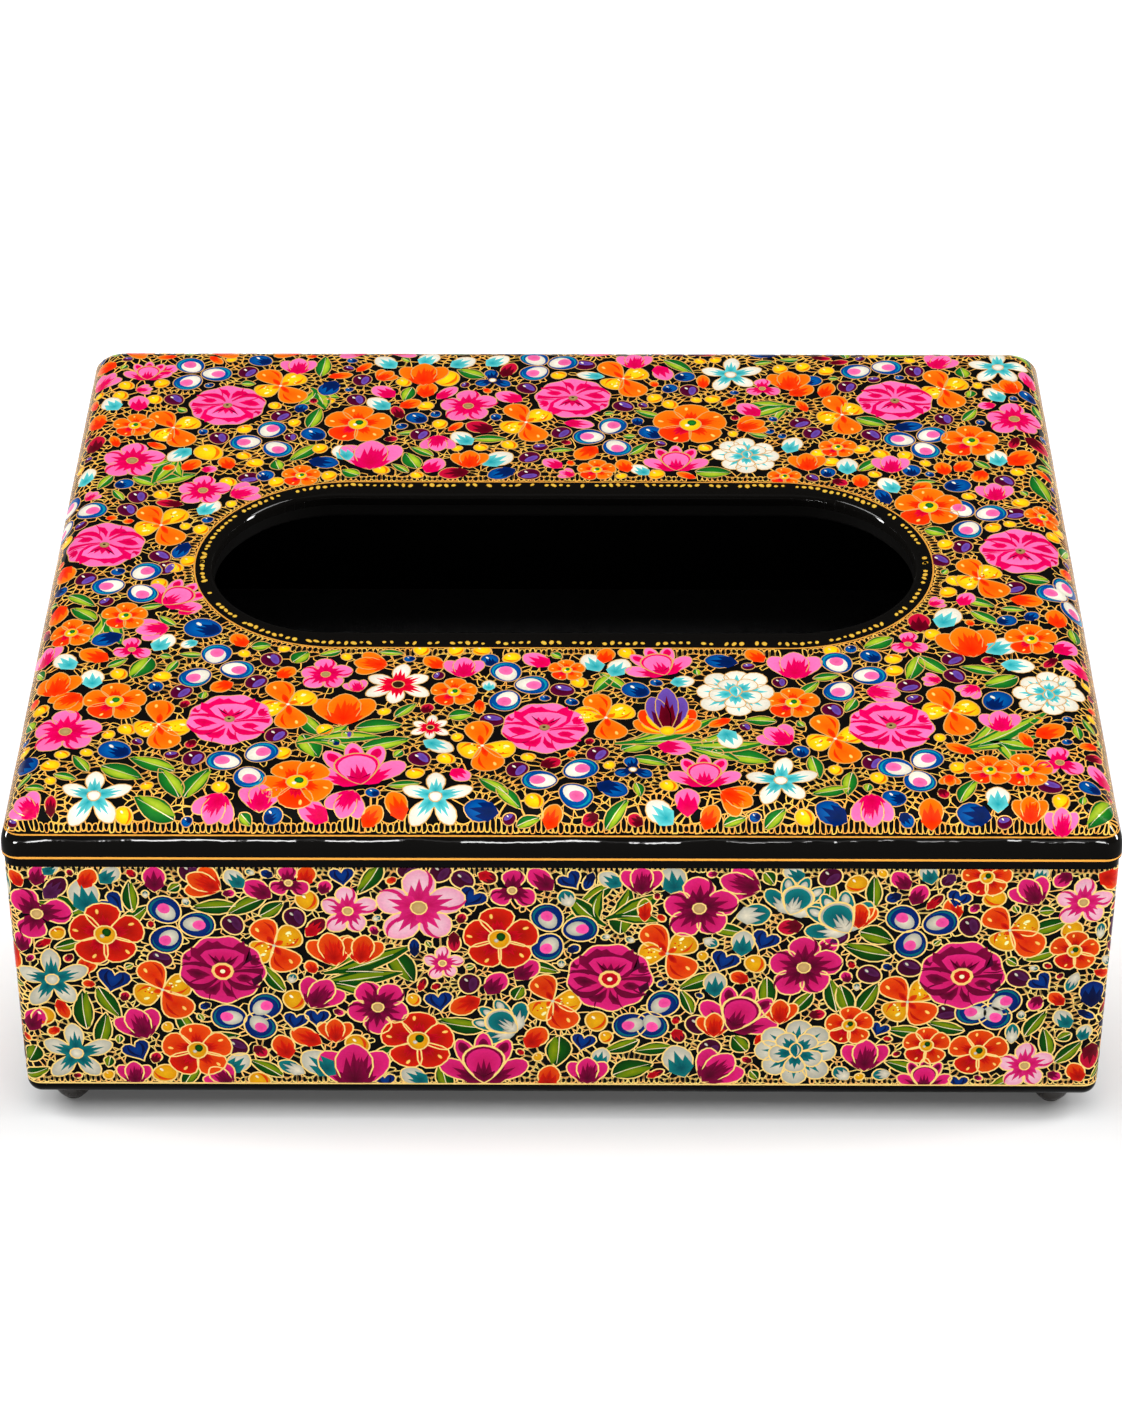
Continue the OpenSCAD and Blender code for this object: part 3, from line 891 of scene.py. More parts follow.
def bud(sheet, x, y, size, turn=None, wide=0.72, *, colour):
    """One drop of colour with a brushed heart of a deeper one."""
    next_motif(sheet, 4)
    way = sheet.hand.uniform(-60, 60) if turn is None else turn
    base = put((0, -size / 2), x, y, way)
    dab(sheet, colour, put(petal(size, size * wide, 1.25, 0.6), *base, way))
    teeth = flame(size * 0.84, size * wide * 0.84, 3, 0.38)
    core(sheet, deeper[colour], put(teeth, *base, way), 0.7)


def heart(sheet, x, y, size):
    """A blue heart with two brushed lines."""
    next_motif(sheet, 4)
    way = sheet.hand.uniform(-50, 50)
    size *= 2
    t = np.linspace(0, 2 * math.pi, 20, endpoint=False)
    up_and_down = 13 * np.cos(t) - 5 * np.cos(2 * t) - 2 * np.cos(3 * t) - np.cos(4 * t)
    shape = np.column_stack((16 * np.sin(t)**3, up_and_down)) / 32
    dab(sheet, "blue", put(shape, x, y, way, size), 0, (x, y))
    for side in (-1, 1):
        line = curl((0, -0.3), (side * 0.36, 0), (side * 0.2, 0.28))
        widths = (0.02 * size, 0.11 * size, 0.02 * size)
        stroke(sheet, "deep_blue", put(line, x, y, way, size), widths, 0.5)


berry_sizes = {"blue": (2.4, 1.1), "purple": (2.3, 1.2), "yellow": (1.7, 1.25)}


def berry(sheet, x, y, size=None, turn=None, *, colour):
    """A round fruit in two tones with a glint, fuller than the size that it is given."""
    next_motif(sheet, 3.4)
    usual, fuller = berry_sizes[colour]
    size = (size or usual) * fuller
    way = sheet.hand.uniform(-80, 80) if turn is None else turn
    dab(sheet, colour, egg(x, y, 2.15 * size, 1.85 * size, way, 14 if size < 2.6 else 20))
    if colour == "blue":
        low = put((0, -size), x, y, way)
        core(sheet, "deep_blue", put(flame(1.5 * size, 1.2 * size, 4, 0.4), *low, way), 0.5)
    if colour == "purple":
        side = put((size * 0.3, 0), x, y, way)
        core(sheet, "lilac", egg(*side, 1.5 * size, 0.7 * size, way, 10), 0.6)
    if colour == "yellow" and size > 1.5:
        rim = curl((-0.5 * size, -0.8 * size), (0.7 * size, -0.7 * size), (0.75 * size, 0.4 * size))
        stroke(sheet, "orange", put(rim, x, y, way), (0.1, 0.3 * size, 0.1), 0.5)
    glint = egg(x - 0.25 * size, y + 0.4 * size, 0.42 * size, 0.22 * size, 40, 8)
    core(sheet, "cream" if colour == "yellow" else "white", glint, 0.9)


def leaf(sheet, x, y, size, turn=None, wide=0.42):
    """A green leaf, light on one side, with a cream rib."""
    next_motif(sheet, 2)
    way = sheet.hand.uniform(-180, 180) if turn is None else turn
    lean = sheet.hand.uniform(-0.18, 0.18) * size
    base = put((0, -size / 2), x, y, way)
    dab(sheet, "green", put(petal(size, size * wide, 0.85, 0.85, lean, 18), *base, way))
    half = petal(size * 0.92, size * wide * 0.45, 0.9, 0.9, lean, 12)
    half_base = put((size * wide * 0.16, size * 0.03), *base, way)
    core(sheet, "lime", put(half, *half_base, way), 0.6)
    rib = curl((0, 0.3), (lean * 0.1, size * 0.5), (lean * 0.8, size * 0.9))
    stroke(sheet, "cream", put(rib, *base, way), (0.22, 0.08), 1.0)


def spray(sheet, x, y, pull, end):
    """Long curved blades, light on one side, that part from one stem."""
    sheet.level = 3.2
    start, pull, end = (np.array(p, float) for p in ((x, y), pull, end))
    run = end - start
    across = np.array((-run[1], run[0])) / np.linalg.norm(run)
    for reach, swing, fat in ((0.6, 6.0, 1.05), (0.74, -5.6, 1.1), (1.0, 1.2, 1.3)):
        sheet.level += 0.2
        line = curl(
            start, start + (pull - start) * 0.8, start + run * reach + across * swing, steps=18)
        light = across * np.sign(swing)
        for colour, path, widths, level in (
                ("gold", line, (0.9, 1.5, 3.0, 3.9, 3.0, 0.7), 0.0),
                ("green", line, (0.5, 1.0, 2.5, 3.4, 2.5, 0.3), 0.15),
                ("lime", line[4:-1] + light * 0.4, (0.2, 0.8, 1.7, 1.1, 0.1), 0.3)):
            stroke(sheet, colour, path, np.array(widths) * fat, level)
        stroke(sheet, "cream", line[6:-3] - light * 0.2, (0.1, 0.26, 0.08), 0.45)


def tulip(sheet, x, y, size, turn=0.0, *, colour):
    """A cup of three petals, the middle one in front."""
    next_motif(sheet, 4.4)
    base = put((0, -size / 2), x, y, turn)
    teeth = flame(size * 0.82, size * 0.5, 4, 0.36)
    for i, side in enumerate((-1, 1, 0)):
        shape = petal(size * (0.94 if side else 1), size * 0.62, 1.3, 0.6, side * size * 0.2)
        way = turn - side * 17
        dab(sheet, colour, put(shape, *base, way), 0.5 * i)
        core(sheet, deeper[colour], put(teeth, *base, way), 0.5 * i + 0.7)


def peony(sheet, x, y, size, turn=0.0, *, colour):
    """A nodding head: side petals, small ones at the rim and a broad striped dome."""
    next_motif(sheet, 4.4)
    base = put((0, -size * 0.5), x, y, turn)
    for i, (angle, long, wide) in enumerate((
            (-58, 0.92, 0.42), (58, 0.92, 0.42), (-24, 1.1, 0.36), (24, 1.1, 0.36),
            (0, 1.16, 0.34))):
        way = turn + angle
        shape = petal(size * long, size * wide, 1.7, 0.5)
        dab(sheet, colour, put(shape, *base, way), 0.25 * i)
        if abs(angle) > 30:
            teeth = flame(size * long * 0.72, size * wide * 0.8, 3, 0.3)
        else:
            teeth = put(petal(size * 0.3, size * 0.18), 0, size * 0.72)
        core(sheet, deeper[colour], put(teeth, *base, way), 0.25 * i + 0.5)
    dome = petal(size * 0.86, size * 0.74, 1.5, 0.5, points=22)
    dab(sheet, deeper[colour], put(dome, *base, turn), 2.2, wide=sheet.contour * 1.5)
    core(sheet, colour, put(dome * (0.84, 0.92), *base, turn), 2.5)
    core(sheet, deeper[colour], put(flame(size * 0.56, size * 0.4, 4, 0.45), *base, turn), 2.7)


def lotus(sheet, x, y, size, turn=0.0):
    """White petals with teal hearts, rounded and laid over one another round a drop."""
    next_motif(sheet, 5)
    for ring, (count, long, wide) in enumerate(((8, 0.96, 0.6), (5, 0.62, 0.5))):
        for i in range(count):
            way = turn + 360 * (i + 0.4 * ring) / count + sheet.hand.uniform(-6, 6)
            level = 0.16 * i + 1.3 * ring
            reach = size * long * sheet.hand.uniform(0.92, 1.06)
            dab(sheet, "white", put(petal(reach, size * wide, 2.0, 0.5), x, y, way), level)
            teeth = flame(reach * 0.84, size * wide * 0.66, 3, 0.3)
            core(sheet, "teal", put(teeth, x, y, way), level + 0.08)
    drop = petal(size * 0.46, size * 0.3, 1.2, 0.65)
    dab(sheet, "teal", put(drop - (0, size * 0.18), x, y, turn), 2.6)
    shine = curl((0.03 * size, -0.1 * size), (0.1 * size, 0.05 * size), (0.02 * size, 0.2 * size))
    stroke(sheet, "white", put(shine, x, y, turn), (0.1, 0.5, 0.1), 2.9)


def iris(sheet, x, y, size):
    """A tall purple petal with a maroon heart, between orange ones with yellow hearts."""
    next_motif(sheet, 5)
    for i, (angle, long, colour, inner) in enumerate((
            (58, 0.5, "orange", "yellow"), (-58, 0.5, "orange", "yellow"),
            (-34, 0.62, "red_orange", "yellow"), (34, 0.6, "red_orange", "yellow"),
            (-14, 0.82, "lilac", "purple"), (14, 0.82, "lilac", "purple"),
            (0, 1.0, "lilac", "maroon"))):
        dab(sheet, colour, put(petal(size * long, size * 0.3, 1.3, 0.6), x, y, angle), 0.3 * i)
        if abs(angle) > 20:
            middle = petal(size * long * 0.78, size * 0.15, 1.2, 0.7)
        else:
            middle = flame(size * long * 0.82, size * 0.22, 3, 0.3)
        core(sheet, inner, put(middle, x, y, angle), 0.3 * i + 0.15)
    dot(sheet, "yellow", x, y + 0.05 * size, 0.1 * size, 2.6, contour="gold")


painters = {
    "rose": rose,
    "almonds": almonds,
    "four": four,
    "lotus": lotus,
    "iris": iris,
    "leaf": leaf,
    "spray": spray,
    "heart_blue": heart,
    "peony": partial(peony, colour="pink"),
    "teal_fan": partial(peony, colour="teal"),
    "round": partial(round_flower, colour="orange"),
    "red_round": partial(round_flower, colour="red_orange"),
    "bud_red": partial(bud, colour="crimson"),
}
for kind, outer, inner, centre, wide, petals in (
        ("lily", "white", "teal", "white", 0.5, 5), ("striped", "white", "red", "dark", 0.5, 6),
        ("pink", "pink", "magenta", "beige", 0.82, 5),
        ("pink_three", "pink", "magenta", "beige", 0.9, 3),
        ("pink_lily", "soft_pink", "pink", "beige", 0.7, 5),
        ("three_blue", "blue", "deep_blue", "white", 0.7, 3)):
    painters[kind] = partial(
        star, outer=outer, inner=inner, centre=centre, wide=wide, petals=petals)
for kind, painter, colours in (
        ("tulip", tulip, ("pink", "orange")), ("berry", berry, ("blue", "purple", "yellow")),
        ("bud", bud, ("pink", "orange", "white")),
        ("drop", bud, ("blue", "teal", "maroon", "purple"))):
    for colour in colours:
        painters[f"{kind}_{colour}"] = partial(painter, colour=colour)


# ---- Net of shell gold ----
# Between the flowers the painter draws a net of fine loops: rows of small cells that
# follow the outlines, a little uneven, with the black ground in each.
net_grid = 0.25  # mm from one point of the grid to the next
largest_cell = 5  # mm, above which a cell gets no loop


def spread(values, steps):
    """How far each grid point is from the marked ones, up to some steps."""
    far = np.where(values, 0.0, 1e3)
    for _ in range(steps):
        p = np.pad(far, 1, mode="edge")
        cross = np.minimum(
            np.minimum(p[:-2, 1:-1], p[2:, 1:-1]), np.minimum(p[1:-1, :-2], p[1:-1, 2:]))
        slant = np.minimum(np.minimum(p[:-2, :-2], p[2:, 2:]), np.minimum(p[:-2, 2:], p[2:, :-2]))
        far = np.minimum(far, np.minimum(cross + net_grid, slant + net_grid * 1.414))
    return far


def fill_outlines(outlines, low, shape):
    """Marks the grid points inside any of the outlines."""
    filled = np.zeros(shape, bool)
    for outline in outlines:
        first = np.maximum(((outline.min(0) - low) / net_grid).astype(int), 0)
        last = np.minimum(((outline.max(0) - low) / net_grid).astype(int) + 2, shape)
        if (last <= first).any():
            continue
        x = low[0] + np.arange(first[0], last[0])[:, None] * net_grid
        y = low[1] + np.arange(first[1], last[1])[None, :] * net_grid
        inside = np.zeros((len(x), y.shape[1]), bool)
        for (ax, ay), (bx, by) in zip(outline, np.roll(outline, -1, 0)):
            if ay != by:
                inside ^= ((ay > y) != (by > y)) & (x < (bx - ax) * (y - ay) / (by - ay) + ax)
        filled[first[0]:last[0], first[1]:last[1]] |= inside
    return filled


def lay_grid(low, high):
    """The low corner, the shape and the places of a grid of points over a rectangle."""
    low = np.array(low, float)
    shape = tuple(((np.array(high, float) - low) / net_grid).astype(int) + 1)
    x = low[0] + np.arange(shape[0])[:, None] * net_grid + np.zeros(shape)
    y = low[1] + np.arange(shape[1])[None, :] * net_grid + np.zeros(shape)
    return low, shape, x, y


def sow_seeds(grid, sheet, allowed, hand, pitch, depth, fringe, apron):
    """Seeds for the cells, row behind row round the dabs, and whether each is inside."""
    low, shape, x, y = grid
    dabs = fill_outlines(sheet.covered, low, shape)
    ground = allowed(x, y)
    far = spread(dabs, 30)
    outside = spread(ground, 8)
    open_ground = ground & (spread(~ground, 16) > apron)
    seeds, inner, cells = [], [], {}

    def sow(u, v, gap, keep):
        i, j = int(u // gap), int(v // gap)
        for a in (i - 1, i, i + 1):
            for b in (j - 1, j, j + 1):
                for p in cells.get((a, b), ()):
                    if (p[0] - u)**2 + (p[1] - v)**2 < gap * gap:
                        return
        cells.setdefault((i, j), []).append((u, v))
        seeds.append((u, v))
        inner.append(keep)

    for kept, mirrored in fringe:
        for (u, v), (a, b) in zip(kept, mirrored):
            sow(u, v, pitch * 0.7, True)
            sow(a, b, pitch * 0.7, False)
    for row in range(4):
        picks = np.argwhere((np.abs(far - depth * (row + 0.55)) < 0.15) & open_ground & ~dabs)
        hand.shuffle(picks)
        shake = hand.uniform(-0.09, 0.09, (len(picks), 2))
        for (i, j), (a, b) in zip(picks, shake):
            sow(x[i, j] + a, y[i, j] + b, pitch, True)
    picks = np.argwhere((outside > 0.4) & (outside < 1.2))
    hand.shuffle(picks)
    for i, j in picks:
        sow(x[i, j], y[i, j], pitch, False)
    return np.array(seeds), np.array(inner), dabs, outside


def cells_round(seeds, inner):
    """Each seed's cell, corner by corner: the corners, the corner after each, each
    cell's first corner, its count of corners and its size, and whether its seed is inside."""
    found = geometry.delaunay_2d_cdt([Vector(p) for p in seeds], [], [], 0, 1e-5)
    corners = np.array([tuple(v) for v in found[0]])
    keep = inner[[ids[0] if ids else 0 for ids in found[3]]]
    tris = np.array([f for f in found[2] if len(f) == 3])
    a, b, c = (corners[tris[:, k]] for k in range(3))
    d = 2 * (a[:, 0] * (b[:, 1] - c[:, 1]) + b[:, 0] * (c[:, 1] - a[:, 1])
             + c[:, 0] * (a[:, 1] - b[:, 1]))
    sq = [(p**2).sum(1) for p in (a, b, c)]
    centre = np.column_stack((
        sq[0] * (b[:, 1] - c[:, 1]) + sq[1] * (c[:, 1] - a[:, 1]) + sq[2] * (a[:, 1] - b[:, 1]),
        sq[0] * (c[:, 0] - b[:, 0]) + sq[1] * (a[:, 0] - c[:, 0]) + sq[2] * (b[:, 0] - a[:, 0])
    )) / d[:, None]
    cell, corner = tris.ravel(), centre[np.repeat(np.arange(len(tris)), 3)]
    away = corner - corners[cell]
    order = np.lexsort((np.arctan2(away[:, 1], away[:, 0]), cell))
    cell, corner, away = cell[order], corner[order], away[order]
    first = np.flatnonzero(np.r_[True, cell[1:] != cell[:-1]])
    count = np.diff(np.r_[first, len(cell)])
    after = np.arange(len(cell)) + 1
    after[first + count - 1] = first
    size = np.repeat(np.maximum.reduceat(np.linalg.norm(away, axis=1), first), count)
    return corner, after, first, count, size, keep[cell]


def draw_net(sheet, low, high, allowed, *, pitch, depth, width, fringe, apron):
    """Draws the loops wherever allowed(x, y) says and no dab lies."""
    grid = lay_grid(low, high)
    hand = np.random.default_rng(7)
    seeds, inner, dabs, outside = sow_seeds(
        grid, sheet, allowed, hand, pitch, depth, fringe, apron)
    corner, after, first, count, size, keep = cells_round(seeds, inner)
    middle = np.repeat(np.add.reduceat(corner, first) / count[:, None], count, 0)
    shade = hand.uniform(0.75, 1.15, len(first)).repeat(count)
    heavy = hand.uniform(0.75, 1.25, len(first)).repeat(count)

    # each loop is drawn round its cell with the corners cut
    loop = np.stack((
        corner * 0.72 + corner[after] * 0.28, corner * 0.28 + corner[after] * 0.72
    ), 1).reshape(-1, 2)
    middle = middle.repeat(2, 0)
    loop = middle + (loop - middle) * 0.95
    k = np.arange(len(corner))
    then = np.column_stack((2 * k + 1, 2 * after)).ravel()
    before = np.empty_like(then)
    before[then] = np.arange(len(then))
    ahead = loop[then] - loop[before]
    ahead /= np.maximum(np.linalg.norm(ahead, axis=1), 1e-6)[:, None]
    half = (width / 2 * heavy.repeat(2))[:, None] * hand.uniform(0.8, 1.2, (len(loop), 1))
    across = np.column_stack((-ahead[:, 1], ahead[:, 0])) * half

    def at(values, points):
        i, j = ((points - grid[0]) / net_grid).round().clip(0, np.array(grid[1]) - 1).astype(int).T
        return values[i, j]

    good = (keep & (size < largest_cell)).repeat(2)
    good &= ~(at(dabs, loop) & at(dabs, loop[then]))
    good &= (at(outside, loop) < 0.3) & (at(outside, loop[then]) < 0.3)
    k = np.flatnonzero(good)
    n = len(loop)
    faces = np.vstack((
        np.column_stack((k, then[k], n + then[k])), np.column_stack((k, n + then[k], n + k))))
    points = np.vstack((loop - across, loop + across))
    used, faces = np.unique(faces, return_inverse=True)
    family, edge, heart = sheet.colours["net_gold"]
    tone = np.tile(shade.repeat(2), 2)[used, None]
    sheet.level = 0.0
    sheet.add(family, points[used], faces.reshape(-1, 3), (edge + heart) / 2 * tone, 1.0)


# ---- Painting on the lid ----
# The ground is filled edge to edge: three roses in front facing up and five at the
# sides and the back facing down, with almonds, lobes and lilies between them, and
# buds, berries and leaves in what is left. A beaded gold line runs round the slot.
lid_colours = {
    "pink": ("pink", (0.98, 0.46, 0.72), (0.97, 0.4, 0.67)),
    "magenta": ("pink", (0.92, 0.0, 0.37), (0.84, 0.0, 0.27)),
    "rose_spot": ("pink", (0.98, 0.45, 0.68), (0.93, 0.34, 0.6)),
    "red": ("pink", (0.93, 0.02, 0.2), (0.8, 0.0, 0.12)),
    "crimson": ("pink", (0.8, 0.05, 0.22), (0.68, 0.0, 0.16)),
    "maroon": ("pink", (0.42, 0.0, 0.1), (0.3, 0.0, 0.06)),
    "orange": ("warm", (0.99, 0.48, 0.03), (0.98, 0.36, 0.01)),
    "orange_light": ("warm", (1.0, 0.72, 0.25), (1.0, 0.85, 0.5)),
    "red_orange": ("warm", (0.98, 0.24, 0.01), (0.93, 0.12, 0.0)),
    "yellow": ("warm", (0.98, 0.7, 0.03), (1.0, 0.87, 0.08)),
    "yellow_light": ("warm", (1.0, 0.97, 0.55), (1.0, 1.0, 0.8)),
    "blue": ("blue", (0.0, 0.22, 0.52), (0.0, 0.4, 0.7)),
    "deep_blue": ("blue", (0.0, 0.12, 0.38), (0.0, 0.1, 0.3)),
    "teal_blue": ("blue", (0.0, 0.5, 0.62), (0.05, 0.58, 0.66)),
    "white": ("pale", (0.9, 0.87, 0.79), (1.0, 0.98, 0.92)),
    "teal": ("pale", (0.4, 0.82, 0.82), (0.08, 0.62, 0.66)),
    "purple": ("purple", (0.36, 0.02, 0.2), (0.26, 0.0, 0.12)),
    "lilac": ("purple", (0.42, 0.3, 0.68), (0.36, 0.2, 0.55)),
    "green": ("green", (0.04, 0.34, 0.12), (0.12, 0.52, 0.14)),
    "lime": ("green", (0.5, 0.66, 0.08), (0.72, 0.8, 0.2)),
    "gold": ("gold", (0.95, 0.7, 0.38), (0.97, 0.76, 0.45)),
    "line_gold": ("gold", (0.98, 0.66, 0.24), (1.0, 0.72, 0.32)),
    "net_gold": ("net", (1.2, 0.73, 0.3), (1.2, 0.79, 0.38)),
    "cream": ("gold", (1.0, 0.93, 0.72), (1.0, 0.95, 0.8)),
    "bead": ("gold", (1.0, 0.74, 0.2), (1.0, 0.86, 0.38)),
    "beige": ("gold", (0.7, 0.56, 0.34), (0.8, 0.66, 0.42)),
    "dark": ("gold", (0.25, 0.15, 0.1), (0.2, 0.1, 0.05)),
}
deeper = {
    "pink": "magenta", "yellow": "orange", "orange": "red_orange", "red_orange": "red",
    "blue": "deep_blue", "white": "teal", "teal": "white", "purple": "lilac",
    "crimson": "maroon", "maroon": "red",
}
